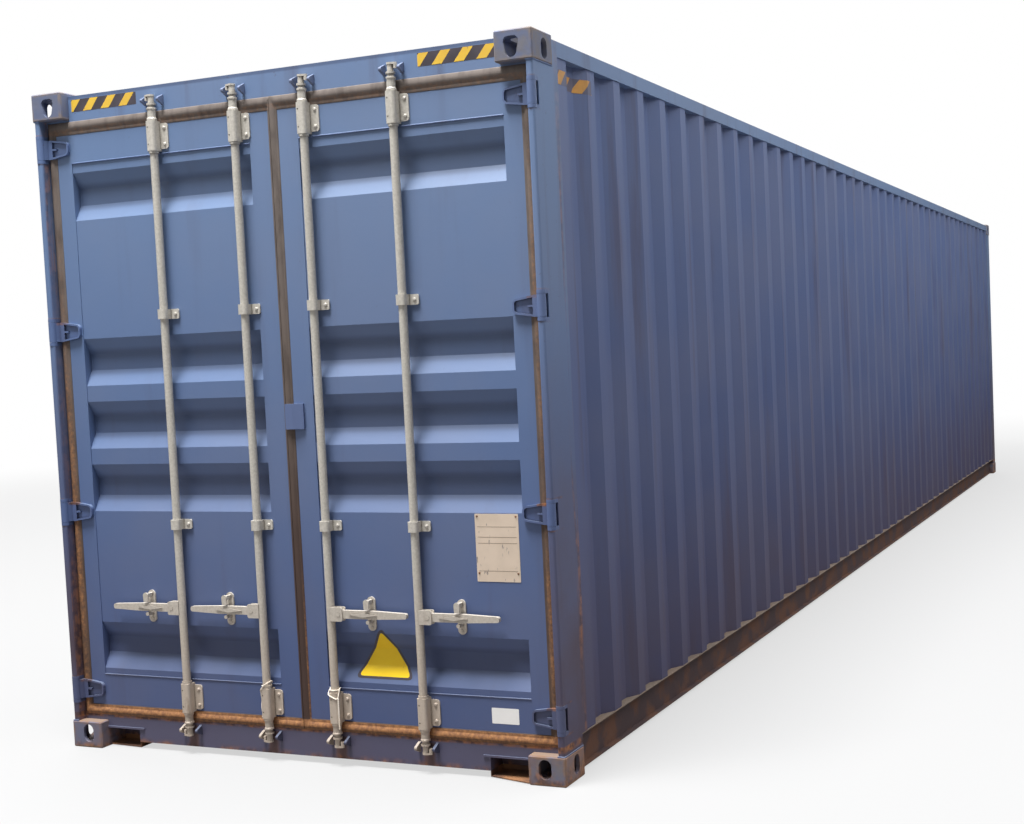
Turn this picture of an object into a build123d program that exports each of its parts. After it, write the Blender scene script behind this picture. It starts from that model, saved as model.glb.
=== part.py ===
from build123d import *
import os

os.makedirs("parts", exist_ok=True)

# Forty-foot high-cube dry freight container. The door end faces -Y, the
# container stands on its four bottom corner fittings at z = 0.

# Overall size
length = 12192
width = 2438
height = 2896

# Corner fittings and their apertures
fitting_length = 178
fitting_width = 162
fitting_height = 118
fitting_plate = 28
fitting_wall = 16
fitting_edge = 5
top_end_aperture_width = 63.5
top_end_aperture_shoulder = 20
top_end_aperture_foot = 24
bottom_end_aperture_width = 55
side_aperture_width = 51
aperture_height = 79.5
lock_aperture_length = 124
lock_aperture_width = 63.5
lock_aperture_from_end = 103.5
lock_aperture_from_side = 89.5

# Rear corner posts, an outer pressing and an inner channel
post_inset = 5
post_sheet = 6
post_bend = 10
post_lip_width = 30
post_depth = 225
channel_web = 12
channel_flange = 38
channel_depth = 113
channel_setback = 103

# Front corner posts
front_post_sheet = 6
front_post_return = 40

# Rails
top_rail_size = 60
top_rail_wall = 3
rail_top = 16
bottom_rail_height = 150
bottom_rail_floor_gap = 17
bottom_rail_sheet = 4.5
bottom_rail_top_flange = 48
bottom_rail_bottom_flange = 30

# Door header and sill
door_recess = 50
header_drop = 126
header_depth = 120
header_wall = 4
sill_bottom = 28
sill_top = 150
sill_step = 61
sill_depth = 146
sill_wall = 4.5
notch_top = 84
notch_depth = 100
notch_ledge = 8
notch_ledge_reach = 6
notch_ledge_overhang = 30
left_notch_width = 172
right_notch_width = 190
front_sill_depth = 90

# Corrugated walls and roof
wall_sheet = 2
wall_inset = 9
wall_pitch = 278
wall_flat = 72
wall_slope = 68
wall_corrugation = 36
front_pitch = 250
front_flat = 110
front_slope = 18
front_corrugation = 45.6
front_wall_inset = 8
roof_pitch = 209
roof_flat = 91
roof_slope = 13.5
roof_corrugation = 20
roof_below_top = 8

# Floor and underframe
floor_thickness = 28
cross_member_pitch = 300
cross_member_flange = 45
cross_member_sheet = 4
first_cross_member = 120
tunnel_length = 3315
tunnel_width = 1029
tunnel_clearance = 128
tunnel_sheet = 4
tunnel_bows = 11

# Door leaves, between the sill, the header and the posts' lips
leaf_gap_bottom = 32
leaf_gap_top = 22
leaf_gap_side = 24
leaf_recess = 52
leaf_thickness = 50
left_seam = 15
right_seam = 25
stile_width = 100
rail_width = 142
panel_inset = 3
panel_sheet = 2
panel_depth = 36
panel_slope = 68
panel_flat = 72
low_recess_height = 275
high_recess_drop = 288
middle_recess_drop = 17
middle_recess_pitch = 278
gasket_depth = 26
gasket_proud = 2
gasket_lip = 8
gasket_clearance = 5
left_gasket_seam = 12
right_gasket_seam = -5.5
tab_height = 105
tab_width = 86
tab_thickness = 10
tab_step = 5
tab_crease = 36

# Door hinges
pin_inset = 20
pin_radius = 10
pin_clearance = 0.3
barrel_radius = 18
barrel_height = 88
barrel_gap = 1
lug_thickness = 14
hinge_clearance = 13
blade_length = 134
blade_thickness = 14.5
blade_root_height = 84
blade_tip_height = 56
blade_corner = 20
blade_rim = 8
blade_hollow = 9
blade_rib_length = 30
blade_rib_height = 8
hinge_from_edge = 75.5
hinge_count = 4

# Locking bars and their brackets
bar_radius = 17
bar_inset = 27
inner_bar = 170
outer_bar = 588
bar_clearance = 0.5
cover_radius = 22
cover_corner = 12
cover_hole_radius = 3.5
cover_hole_depth = 3
cover_hole_offset = 9
cover_hole_height = 36
flange_reach = 62
flange_thickness = 6
long_flange_corner = 14
short_flange_corner = 8
long_bracket_height = 126
long_flange_height = 108
low_bracket_height = 67
high_bracket_drop = 70
short_bracket_height = 42
short_bracket_spread = 452

# Bar ends, from the bracket outward: collar, shank, ring, neck and cam
bar_end_drop = 24
bar_end_rise = 38
inner_collar_radius = 21
inner_collar_height = 9
collar_radius = 21
collar_height = 8
collar_taper = 6
collar_gap = 1
shank_radius = 17.5
ring_radius = 20
ring_height = 12
ring_edge = 3
neck_radius = 14
neck_height = 9
disc_radius = 19
disc_height = 8
cam_radius = 13
cam_height = 44
cam_plate = 8
cam_plate_radius = 15
horn_radius = 8
horn_reach = 30
horn_height = 24
keeper_gap = 6
keeper_thickness = 12
keeper_height = 44
keeper_reach = 36
keeper_nose = 9

# Handles and the plates that hold them
handle_above_leaf = 460
handle_reach = 365
handle_thickness = 17
handle_width = 34
handle_tip = 22
handle_corner = 9
handle_root_gap = 12
grip_length = 150
rib_length = 130
rib_width = 20
rib_offset = 20
rib_thickness = 4
hub_length = 48
hub_height = 58
hub_plate = 6
hub_inset = 9
hub_corner = 8
hub_root = 10
hub_slot_clearance = 0.5
rivet_offset = 6
rivet_radius = 9
rivet_head = 3
retainer_offset = 182
retainer_width = 38
retainer_height = 141
retainer_plate = 6
retainer_post = 16
catch_radius = 13
catch_tip = 22
catch_thickness = 6
catch_gap = 5
rest_radius = 8
rest_gap = 5

# Planes and levels that the pieces share
x_side = width / 2
y_end = length / 2
y_door = -y_end
x_fitting = x_side - fitting_width
y_fitting = y_end - fitting_length
z_top_fitting = height - fitting_height
x_post = x_side - post_inset
y_post_front = y_door + post_inset
y_post_back = y_post_front + post_depth
x_lip = x_post - post_lip_width
x_post_inner = x_post - post_sheet - channel_flange
z_rail_top = height - rail_top
z_rail_bottom = z_rail_top - top_rail_size
z_floor = bottom_rail_floor_gap + bottom_rail_height
x_web = x_post - bottom_rail_top_flange
x_wall = x_side - wall_inset
y_header = y_door + door_recess
z_header = z_rail_top - header_drop
y_leaf = y_door + leaf_recess
leaf_outer = x_lip - leaf_gap_side
leaf_bottom = sill_top + leaf_gap_bottom
leaf_top = z_header - leaf_gap_top
leaf_mid = (leaf_top + leaf_bottom) / 2
leaf_height = leaf_top - leaf_bottom
x_pin = x_side - pin_inset
y_pin = y_door + pin_inset
y_bar = y_door + bar_inset
hinge_first = leaf_bottom + hinge_from_edge
hinge_pitch = (leaf_height - 2 * hinge_from_edge) / (hinge_count - 1)
hinge_levels = [hinge_first + i * hinge_pitch for i in range(hinge_count)]
low_bracket = leaf_bottom + low_bracket_height
high_bracket = leaf_top - high_bracket_drop
bar_bottom = sill_top - bar_end_drop
bar_top = z_header + bar_end_rise
handle_height = leaf_bottom + handle_above_leaf
bar_places = ((-outer_bar, "left_outer"), (-inner_bar, "left_inner"),
              (inner_bar, "right_inner"), (outer_bar, "right_outer"))
door_sides = ((-1, "left", (-outer_bar, -inner_bar)), (1, "right", (inner_bar, outer_bar)))


def save(piece, name):
    """Label a finished piece and write it."""
    piece.label = name
    export_step(piece, f"parts/{name}.step")


def strip(outer, shift):
    """Closed outline of a bent sheet, from its outer line and its thickness."""
    dx, dy = shift
    return outer + [(x + dx, y + dy) for x, y in reversed(outer)]


def wave(start, end, pitch, flat, slope, face, depth):
    """Points of a trapezoid corrugation that starts and ends on the face."""
    count = int((end - start - flat) // pitch)
    margin = (end - start - count * pitch - flat) / 2
    points = [(start, face)]
    place = start + margin + flat
    for _ in range(count):
        points.append((place, face))
        points.append((place + slope, face - depth))
        points.append((place + pitch - flat - slope, face - depth))
        points.append((place + pitch - flat, face))
        place += pitch
    points.append((end, face))
    return points


def round_corner(sketch, corner, radius):
    """Round the corner of a sketch that is nearest to a point."""
    fillet(sketch.vertices().sort_by_distance((*corner, 0))[0], radius)


# Corner fittings: hollow castings with an aperture for a twist lock and two side apertures
for y_sign, end_name in ((-1, "rear"), (1, "front")):
    for x_sign, side_name in ((-1, "left"), (1, "right")):
        for z_sign, level_name in ((-1, "bottom"), (1, "top")):
            x_mid = x_sign * (x_side - fitting_width / 2)
            y_mid = y_sign * (y_end - fitting_length / 2)
            z_mid = fitting_height / 2 if z_sign < 0 else height - fitting_height / 2
            z_face = 0 if z_sign < 0 else height
            z_cavity = z_mid - z_sign * (fitting_plate - fitting_wall) / 2
            cavity_height = fitting_height - fitting_plate - fitting_wall
            with BuildPart() as fitting:
                with Locations((x_mid, y_mid, z_mid)):
                    Box(fitting_width, fitting_length, fitting_height)
                chamfer(fitting.edges(), fitting_edge)
                with Locations((x_mid, y_mid, z_cavity)):
                    Box(fitting_width - 2 * fitting_wall, fitting_length - 2 * fitting_wall,
                        cavity_height, mode=Mode.SUBTRACT)
                lock_place = (x_sign * (x_side - lock_aperture_from_side),
                              y_sign * (y_end - lock_aperture_from_end), z_face)
                with BuildSketch(Plane(lock_place, x_dir=(0, 1, 0), z_dir=(0, 0, z_sign))):
                    SlotOverall(lock_aperture_length, lock_aperture_width)
                extrude(amount=-fitting_plate - 1, mode=Mode.SUBTRACT)
                end_place = (lock_place[0], y_sign * y_end, z_cavity)
                with BuildSketch(Plane(end_place, x_dir=(0, 0, 1), z_dir=(0, y_sign, 0))):
                    if z_sign < 0:
                        SlotOverall(aperture_height, bottom_end_aperture_width)
                    else:
                        shoulder = top_end_aperture_width / 2 - top_end_aperture_shoulder
                        shoulder_height = aperture_height / 2 - top_end_aperture_shoulder
                        with Locations((shoulder_height, shoulder), (shoulder_height, -shoulder)):
                            Circle(top_end_aperture_shoulder)
                        with Locations((top_end_aperture_foot - aperture_height / 2, 0)):
                            Circle(top_end_aperture_foot)
                        make_hull()
                extrude(amount=-fitting_wall - 1, mode=Mode.SUBTRACT)
                side_place = (x_sign * x_side, lock_place[1], z_cavity)
                with BuildSketch(Plane(side_place, x_dir=(0, 0, 1), z_dir=(x_sign, 0, 0))):
                    SlotOverall(aperture_height, side_aperture_width)
                extrude(amount=-fitting_wall - 1, mode=Mode.SUBTRACT)
            save(fitting.part, f"{level_name}_{end_name}_{side_name}_fitting")

# Rear corner post: pressed J section welded to a rolled channel, notched at each hinge
lug_stack = barrel_height + 2 * barrel_gap + 2 * lug_thickness
notch_reach = pin_inset + barrel_radius + hinge_clearance
y_channel = y_post_front + channel_setback
with BuildPart() as rear_post:
    with BuildSketch(Plane.XY.offset(fitting_height)) as post_section:
        with BuildLine():
            Polyline((x_lip, y_channel), (x_lip, y_post_front), (x_post, y_post_front),
                     (x_post, y_post_back), (x_post - post_sheet, y_post_back),
                     (x_post - post_sheet, y_post_front + post_sheet),
                     (x_lip + post_sheet, y_post_front + post_sheet),
                     (x_lip + post_sheet, y_channel), close=True)
        make_face()
        for x_outer, x_inner in ((x_lip, x_lip + post_sheet), (x_post, x_post - post_sheet)):
            round_corner(post_section, (x_outer, y_post_front), post_bend)
            round_corner(post_section, (x_inner, y_post_front + post_sheet), post_bend - post_sheet)
        with BuildLine():
            Polyline((x_post_inner, y_channel), (x_post - post_sheet, y_channel),
                     (x_post - post_sheet, y_channel + channel_web),
                     (x_post_inner + channel_web, y_channel + channel_web),
                     (x_post_inner + channel_web, y_channel + channel_depth - channel_web),
                     (x_post - post_sheet, y_channel + channel_depth - channel_web),
                     (x_post - post_sheet, y_channel + channel_depth),
                     (x_post_inner, y_channel + channel_depth), close=True)
        make_face()
    extrude(amount=z_rail_top - header_wall - fitting_height)
    with BuildSketch(Plane.XY.offset(z_top_fitting)):
        with Locations((x_side, (y_door - y_fitting) / 2)):
            Rectangle(2 * fitting_width, fitting_length)
    extrude(amount=fitting_height, mode=Mode.SUBTRACT)
    with BuildSketch(Plane.XY.offset(fitting_height)):
        with Locations((x_side, -y_fitting + fitting_length / 2)):
            Rectangle(2 * fitting_width, fitting_length)
    extrude(amount=z_floor - fitting_height, mode=Mode.SUBTRACT)
    with Locations([(x_side - post_lip_width, y_door + notch_reach / 2, z) for z in hinge_levels]):
        Box(2 * post_lip_width + 2 * post_inset, notch_reach, lug_stack, mode=Mode.SUBTRACT)
with BuildPart() as rear_left_post:
    mirror(rear_post.part, about=Plane.YZ)
save(rear_post.part, "rear_right_post")
save(rear_left_post.part, "rear_left_post")

# Hinge lugs in the notches of the post, with the pin welded through each pair
y_lug_back = y_door + notch_reach
with BuildPart() as hinge_lugs:
    for level in hinge_levels:
        for z_low in (level - lug_stack / 2, level + lug_stack / 2 - lug_thickness):
            with BuildSketch(Plane.XY.offset(z_low)):
                with Locations((x_pin, y_pin)):
                    Circle(barrel_radius)
                with Locations((x_post - post_lip_width / 2, (y_pin + y_lug_back) / 2)):
                    Rectangle(post_lip_width, y_lug_back - y_pin)
            extrude(amount=lug_thickness)
        with Locations((x_pin, y_pin, level)):
            Cylinder(pin_radius, lug_stack)
with BuildPart() as left_hinge_lugs:
    mirror(hinge_lugs.part, about=Plane.YZ)
save(hinge_lugs.part, "right_hinge_lugs")
save(left_hinge_lugs.part, "left_hinge_lugs")

# Front corner post: pressed section under the front fittings
y_front = y_end - post_inset
with BuildPart() as front_post:
    with BuildSketch(Plane.XY.offset(fitting_height)):
        with BuildLine():
            s = front_post_sheet
            Polyline((x_fitting, y_front - front_post_return), (x_fitting, y_front),
                     (x_post, y_front), (x_post, y_fitting),
                     (x_post - front_post_return, y_fitting),
                     (x_post - front_post_return, y_fitting + s), (x_post - s, y_fitting + s),
                     (x_post - s, y_front - s), (x_fitting + s, y_front - s),
                     (x_fitting + s, y_front - front_post_return), close=True)
        make_face()
    extrude(amount=z_top_fitting - fitting_height)
with BuildPart() as front_left_post:
    mirror(front_post.part, about=Plane.YZ)
save(front_post.part, "front_right_post")
save(front_left_post.part, "front_left_post")

# Door header: box section between the posts and the top fittings, with a plate behind it
# that lies on the posts and carries the roof's end
y_header_back = y_header + header_depth
with BuildPart() as door_header:
    with BuildSketch(Plane.YZ.offset(-x_lip)):
        with Locations((y_header + header_depth / 2, z_rail_top - header_drop / 2)):
            Rectangle(header_depth, header_drop)
            offset(amount=-header_wall, mode=Mode.SUBTRACT)
    extrude(amount=2 * x_lip)
    with Locations((0, (y_header_back + y_post_back) / 2, z_rail_top - header_wall / 2)):
        Box(2 * x_post, y_post_back - y_header_back, header_wall)
    with Locations(*[(sx * (x_fitting + fitting_width / 2), y_door + fitting_length / 2,
                      height - fitting_height / 2) for sx in (-1, 1)]):
        Box(fitting_width, fitting_length, fitting_height, mode=Mode.SUBTRACT)
    with Locations(*[(sx * (x_post_inner + post_depth / 2), y_channel + post_depth / 2,
                      z_header) for sx in (-1, 1)]):
        Box(post_depth, post_depth, fitting_height, mode=Mode.SUBTRACT)
save(door_header.part, "door_header")

# Door sill: box section with a raised threshold, and beside each fitting a notch under a ledge.
# It is welded from a middle length, a top and a back at each notch, and a cap on each fitting
with BuildPart() as sill:
    with BuildSketch(Plane.YZ.offset(-x_lip)):
        with BuildLine():
            Polyline((y_header, sill_bottom), (y_header, sill_top),
                     (y_header + sill_step, sill_top), (y_header + sill_step, z_floor),
                     (y_header + sill_depth, z_floor), (y_header + sill_depth, sill_bottom),
                     close=True)
        make_face()
        offset(amount=-sill_wall, mode=Mode.SUBTRACT)
    extrude(amount=2 * x_lip)
    for x_sign, notch_width in ((-1, left_notch_width), (1, right_notch_width)):
        notch_mid = x_sign * (x_fitting - notch_width / 2)
        liner_mid = notch_mid - x_sign * sill_wall / 2
        with Locations((liner_mid, y_header + (notch_depth + sill_wall) / 2,
                        (sill_bottom + notch_top + notch_ledge) / 2)):
            Box(notch_width + sill_wall, notch_depth + sill_wall,
                notch_top + notch_ledge - sill_bottom)
        with Locations((notch_mid - x_sign * notch_ledge_overhang / 2,
                        y_header - notch_ledge_reach / 2, notch_top + notch_ledge / 2)):
            Box(notch_width + notch_ledge_overhang, notch_ledge_reach, notch_ledge)
        with Locations((notch_mid, y_header + notch_depth / 2, notch_top / 2)):
            Box(notch_width, notch_depth, notch_top, mode=Mode.SUBTRACT)
    with Locations(*[(sx * (x_fitting + fitting_width / 2), y_door + fitting_length / 2,
                      fitting_height / 2) for sx in (-1, 1)]):
        Box(fitting_width, fitting_length, fitting_height, mode=Mode.SUBTRACT)
    with Locations(*[(sx * (x_post_inner + post_depth / 2), y_channel + post_depth / 2,
                      z_floor) for sx in (-1, 1)]):
        Box(post_depth, post_depth, 2 * fitting_height, mode=Mode.SUBTRACT)
    with Locations(*[(sx * (x_web + fitting_width / 2), -y_fitting + fitting_length / 2,
                      z_floor) for sx in (-1, 1)]):
        Box(fitting_width, fitting_length, 2 * z_floor, mode=Mode.SUBTRACT)

y_sill_front = y_header - notch_ledge_reach
y_notch_back = y_header + notch_depth
y_sill_back = y_header + sill_depth
notch_spans = ((-x_fitting, left_notch_width - x_fitting), (x_fitting - right_notch_width, x_fitting))


def save_sill(name, boxes):
    """Save the lengths of the sill inside some boxes, each given by its lowest and highest corner."""
    with BuildPart() as lengths:
        for low, high in boxes:
            with BuildPart(mode=Mode.PRIVATE) as region:
                with Locations(tuple((a + b) / 2 for a, b in zip(low, high))):
                    Box(*[b - a for a, b in zip(low, high)])
            add(sill.part & region.part)
    save(lengths.part, name)


save_sill("door_sill", [((notch_spans[0][1], y_sill_front, sill_bottom),
                         (notch_spans[1][0], y_sill_back, z_floor))])
save_sill("sill_notch_tops", [((a, y_sill_front, notch_top), (b, y_notch_back, z_floor))
                              for a, b in notch_spans])
save_sill("sill_notch_backs", [((a, y_notch_back, sill_bottom), (b, y_sill_back, z_floor))
                               for a, b in notch_spans])
save_sill("sill_corner_tops", [((a, y_sill_front, fitting_height), (b, y_sill_back, z_floor))
                               for a, b in ((-x_lip, -x_fitting), (x_fitting, x_lip))])

# Front top rail and front sill between the front posts
y_front_rail = y_end - front_wall_inset - top_rail_size
with BuildPart() as front_top_rail:
    with BuildSketch(Plane.YZ.offset(-x_fitting)):
        with Locations((y_front_rail + top_rail_size / 2, z_rail_top - top_rail_size / 2)):
            Rectangle(top_rail_size, top_rail_size)
            offset(amount=-top_rail_wall, mode=Mode.SUBTRACT)
    extrude(amount=2 * x_fitting)
save(front_top_rail.part, "front_top_rail")

x_tunnel = tunnel_width / 2
y_front_sill = y_end - front_wall_inset - front_sill_depth
with BuildPart() as front_sill:
    with BuildSketch(Plane.YZ.offset(-x_fitting)):
        with Locations((y_front_sill + front_sill_depth / 2, z_floor - bottom_rail_height / 2)):
            Rectangle(front_sill_depth, bottom_rail_height)
            offset(amount=-sill_wall, mode=Mode.SUBTRACT)
    extrude(amount=2 * x_fitting)
    with Locations((0, y_front_sill + front_sill_depth / 2, tunnel_clearance / 2)):
        Box(tunnel_width, front_sill_depth, tunnel_clearance, mode=Mode.SUBTRACT)
save(front_sill.part, "front_sill")

# Side rails, top tubes and bottom channels
with BuildPart() as top_side_rail:
    with BuildSketch(Plane.XZ.offset(-y_fitting)):
        with Locations((x_post - top_rail_size / 2, z_rail_top - top_rail_size / 2)):
            Rectangle(top_rail_size, top_rail_size)
            offset(amount=-top_rail_wall, mode=Mode.SUBTRACT)
    extrude(amount=y_fitting - y_post_back)
with BuildPart() as left_top_side_rail:
    mirror(top_side_rail.part, about=Plane.YZ)
save(top_side_rail.part, "right_top_side_rail")
save(left_top_side_rail.part, "left_top_side_rail")

with BuildPart() as bottom_side_rail:
    with BuildSketch(Plane.XZ.offset(-y_fitting)):
        with BuildLine():
            s = bottom_rail_sheet
            z_low = bottom_rail_floor_gap
            x_low = x_web + bottom_rail_bottom_flange
            Polyline((x_web, z_low), (x_low, z_low), (x_low, z_low + s), (x_web + s, z_low + s),
                     (x_web + s, z_floor - s), (x_post, z_floor - s), (x_post, z_floor),
                     (x_web, z_floor), close=True)
        make_face()
    extrude(amount=2 * y_fitting)
with BuildPart() as left_bottom_side_rail:
    mirror(bottom_side_rail.part, about=Plane.YZ)
save(bottom_side_rail.part, "right_bottom_side_rail")
save(left_bottom_side_rail.part, "left_bottom_side_rail")

# Corrugated side walls, front wall and roof
side_line = wave(y_post_back, y_fitting, wall_pitch, wall_flat, wall_slope, x_wall, wall_corrugation)
with BuildPart() as side_wall:
    with BuildSketch(Plane.XY.offset(z_floor)):
        with BuildLine():
            outline = [(x, y) for y, x in side_line]
            Polyline(*strip(outline, (-wall_sheet, 0)), close=True)
        make_face()
    extrude(amount=z_rail_bottom - z_floor)
with BuildPart() as left_side_wall:
    mirror(side_wall.part, about=Plane.YZ)
save(side_wall.part, "right_side_wall")
save(left_side_wall.part, "left_side_wall")

front_line = wave(-x_fitting, x_fitting, front_pitch, front_flat, front_slope,
                  y_end - front_wall_inset, front_corrugation)
with BuildPart() as front_wall:
    with BuildSketch(Plane.XY.offset(z_floor)):
        with BuildLine():
            Polyline(*strip(front_line, (0, -wall_sheet)), close=True)
        make_face()
    extrude(amount=z_rail_bottom - z_floor)
save(front_wall.part, "front_wall")

x_roof = x_post - top_rail_size
roof_line = wave(y_post_back, y_front_rail, roof_pitch, roof_flat, roof_slope,
                 height - roof_below_top, roof_corrugation)
with BuildPart() as roof_panel:
    with BuildSketch(Plane.YZ.offset(-x_roof)):
        with BuildLine():
            Polyline(*strip(roof_line, (0, -wall_sheet)), close=True)
        make_face()
    extrude(amount=2 * x_roof)
    with Locations(*[(sx * (x_side - fitting_width / 2), sy * (y_end - fitting_length / 2),
                      height - fitting_height / 2) for sx in (-1, 1) for sy in (-1, 1)]):
        Box(fitting_width, fitting_length, fitting_height, mode=Mode.SUBTRACT)
save(roof_panel.part, "roof_panel")

# Floor deck, cut out over the gooseneck tunnel
y_tunnel = y_end - tunnel_length
with BuildPart() as floor_deck:
    with BuildSketch(Plane.XY.offset(z_floor - floor_thickness)):
        with Locations((0, (y_sill_back + y_front_sill) / 2)):
            Rectangle(2 * x_web, y_front_sill - y_sill_back)
        with Locations((0, (y_tunnel + y_front_sill) / 2)):
            Rectangle(tunnel_width + 2 * tunnel_sheet, y_front_sill - y_tunnel,
                      mode=Mode.SUBTRACT)
    extrude(amount=floor_thickness)
save(floor_deck.part, "floor_deck")

# Cross members: channels under the deck, full width behind the tunnel and short beside it
z_member_top = z_floor - floor_thickness
x_outrigger = x_tunnel + tunnel_sheet


def member_outline(y_web):
    """Outline of one channel with its web at y_web and its flanges towards +Y."""
    f, s = cross_member_flange, cross_member_sheet
    low, high = bottom_rail_floor_gap, z_member_top
    return [(y_web, low), (y_web + f, low), (y_web + f, low + s), (y_web + s, low + s),
            (y_web + s, high - s), (y_web + f, high - s), (y_web + f, high), (y_web, high)]


def member_places(start, end):
    """Places of the cross members that fit between two ends."""
    count = int((end - start) // cross_member_pitch) + 1
    return [start + i * cross_member_pitch for i in range(count)]


with BuildPart() as cross_members:
    for place in member_places(y_sill_back + first_cross_member, y_tunnel - cross_member_flange):
        with BuildSketch(Plane.YZ.offset(-x_web)):
            with BuildLine():
                Polyline(*member_outline(place), close=True)
            make_face()
        extrude(amount=2 * x_web)
save(cross_members.part, "cross_members")

with BuildPart() as outriggers:
    for place in member_places(y_tunnel + cross_member_flange, y_front_sill - cross_member_flange):
        with BuildSketch(Plane.YZ.offset(x_outrigger)):
            with BuildLine():
                Polyline(*member_outline(place), close=True)
            make_face()
        extrude(amount=x_web - x_outrigger)
with BuildPart() as left_outriggers:
    mirror(outriggers.part, about=Plane.YZ)
save(outriggers.part, "right_outriggers")
save(left_outriggers.part, "left_outriggers")

# Gooseneck tunnel: a top plate on bows that leave the lower part free, and two side plates
bow_pitch = (y_front_sill - y_tunnel) / tunnel_bows
with BuildPart() as tunnel:
    with BuildSketch(Plane.XZ.offset(-y_front_sill)):
        with Locations((0, z_floor - tunnel_sheet / 2)):
            Rectangle(2 * x_outrigger, tunnel_sheet)
    extrude(amount=y_front_sill - y_tunnel)
    with Locations(*[(0, y_tunnel + (i + 0.5) * bow_pitch, (tunnel_clearance + z_floor) / 2)
                     for i in range(tunnel_bows)]):
        Box(tunnel_width, cross_member_flange, z_floor - tunnel_clearance)
save(tunnel.part, "gooseneck_tunnel")

z_side_plate = z_floor - tunnel_sheet
with BuildPart() as tunnel_side_plates:
    with Locations(*[(sx * (x_tunnel + tunnel_sheet / 2), (y_tunnel + y_front_sill) / 2,
                      (bottom_rail_floor_gap + z_side_plate) / 2) for sx in (-1, 1)]):
        Box(tunnel_sheet, y_front_sill - y_tunnel, z_side_plate - bottom_rail_floor_gap)
save(tunnel_side_plates.part, "tunnel_side_plates")

# Cam keepers on the header and the sill: a forged lug each side of every cam
z_top_cam = bar_top + cam_height / 2
z_bottom_cam = bar_bottom - cam_height / 2
lug_offset = horn_reach + keeper_gap + keeper_thickness / 2
for level_name, level in (("bottom", z_bottom_cam), ("top", z_top_cam)):
    with BuildPart() as cam_keepers:
        for place, _ in bar_places:
            for x_sign in (-1, 1):
                with BuildSketch(Plane.YZ.offset(place + x_sign * lug_offset - keeper_thickness / 2)):
                    with BuildLine():
                        Line((y_header, level - keeper_height / 2), (y_header, level + keeper_height / 2))
                    with Locations((y_header - keeper_reach + keeper_nose, level)):
                        Circle(keeper_nose)
                    make_hull()
                extrude(amount=keeper_thickness)
    save(cam_keepers.part, f"{level_name}_cam_keepers")

# Door leaves: frame, corrugated panel, gasket, hinges, brackets and handle retainers
gasket_edges = {-1: left_gasket_seam, 1: right_gasket_seam}
leaf_seams = {-1: left_seam, 1: right_seam}
gasket_outer = x_lip - gasket_clearance
gasket_low = sill_top + gasket_clearance
gasket_high = z_header - gasket_clearance
middle_recess = leaf_mid - middle_recess_drop
recess_centres = (leaf_bottom + low_recess_height, middle_recess - middle_recess_pitch,
                  middle_recess, middle_recess + middle_recess_pitch,
                  leaf_top - high_recess_drop)


def panel_line():
    """Points of the door panel's face, up its height, with its recesses."""
    face = y_leaf + panel_inset
    points = [(face, leaf_bottom + rail_width)]
    half = panel_flat / 2
    for centre in recess_centres:
        points.append((face, centre - half - panel_slope))
        points.append((face + panel_depth, centre - half))
        points.append((face + panel_depth, centre + half))
        points.append((face, centre + half + panel_slope))
    points.append((face, leaf_top - rail_width))
    return points


for x_sign, side_name in ((-1, "left"), (1, "right")):
    seam = leaf_seams[x_sign]
    x_inner = x_sign * seam
    x_outer = x_sign * leaf_outer
    x_mid = (x_inner + x_outer) / 2
    leaf_width = leaf_outer - seam
    with BuildPart() as door_frame:
        with BuildSketch(Plane.XZ.offset(-y_leaf)):
            with Locations((x_mid, leaf_mid)):
                Rectangle(leaf_width, leaf_height)
                Rectangle(leaf_width - 2 * stile_width, leaf_height - 2 * rail_width,
                          mode=Mode.SUBTRACT)
        extrude(amount=-leaf_thickness)
    save(door_frame.part, f"{side_name}_door_frame")

    with BuildPart() as door_panel:
        with BuildSketch(Plane.YZ.offset(x_mid - leaf_width / 2 + stile_width)):
            with BuildLine():
                Polyline(*strip(panel_line(), (panel_sheet, 0)), close=True)
            make_face()
        extrude(amount=leaf_width - 2 * stile_width)
    save(door_panel.part, f"{side_name}_door_panel")

    x_gasket_inner = x_sign * gasket_edges[x_sign]
    x_gasket_outer = x_sign * gasket_outer
    gasket_place = ((x_gasket_inner + x_gasket_outer) / 2, (gasket_low + gasket_high) / 2)
    with BuildPart() as gasket:
        with BuildSketch(Plane.XZ.offset(-(y_leaf - gasket_proud))):
            with Locations(gasket_place):
                Rectangle(abs(x_gasket_outer - x_gasket_inner), gasket_high - gasket_low)
        extrude(amount=-gasket_depth)
        chamfer(gasket.faces().sort_by(Axis.Y)[0].edges(), gasket_lip)
        with BuildSketch(Plane.XZ.offset(-(y_leaf - gasket_proud))):
            with Locations((x_mid, leaf_mid)):
                Rectangle(leaf_width, leaf_height)
        extrude(amount=-gasket_depth, mode=Mode.SUBTRACT)
    save(gasket.part, f"{side_name}_door_gasket")

# Forged hinges: a bored barrel in front of the leaf's edge, a neck across the gasket, and a
# blade on the leaf that tapers to a rounded tip, with a raised rim and a short rib
y_gasket_front = y_leaf - gasket_proud
y_neck_back = y_gasket_front - pin_clearance


def blade_outline(level):
    """Outline of a hinge blade, wide at the leaf's edge and rounded at its tip."""
    with BuildSketch(Plane.XY, mode=Mode.PRIVATE) as outline:
        with BuildLine():
            x_tip = x_pin - blade_length
            Polyline((leaf_outer, level - blade_root_height / 2), (x_tip, level - blade_tip_height / 2),
                     (x_tip, level + blade_tip_height / 2), (leaf_outer, level + blade_root_height / 2),
                     close=True)
        make_face()
        fillet(outline.vertices().group_by(Axis.X)[0], blade_corner)
    return outline.sketch


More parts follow.
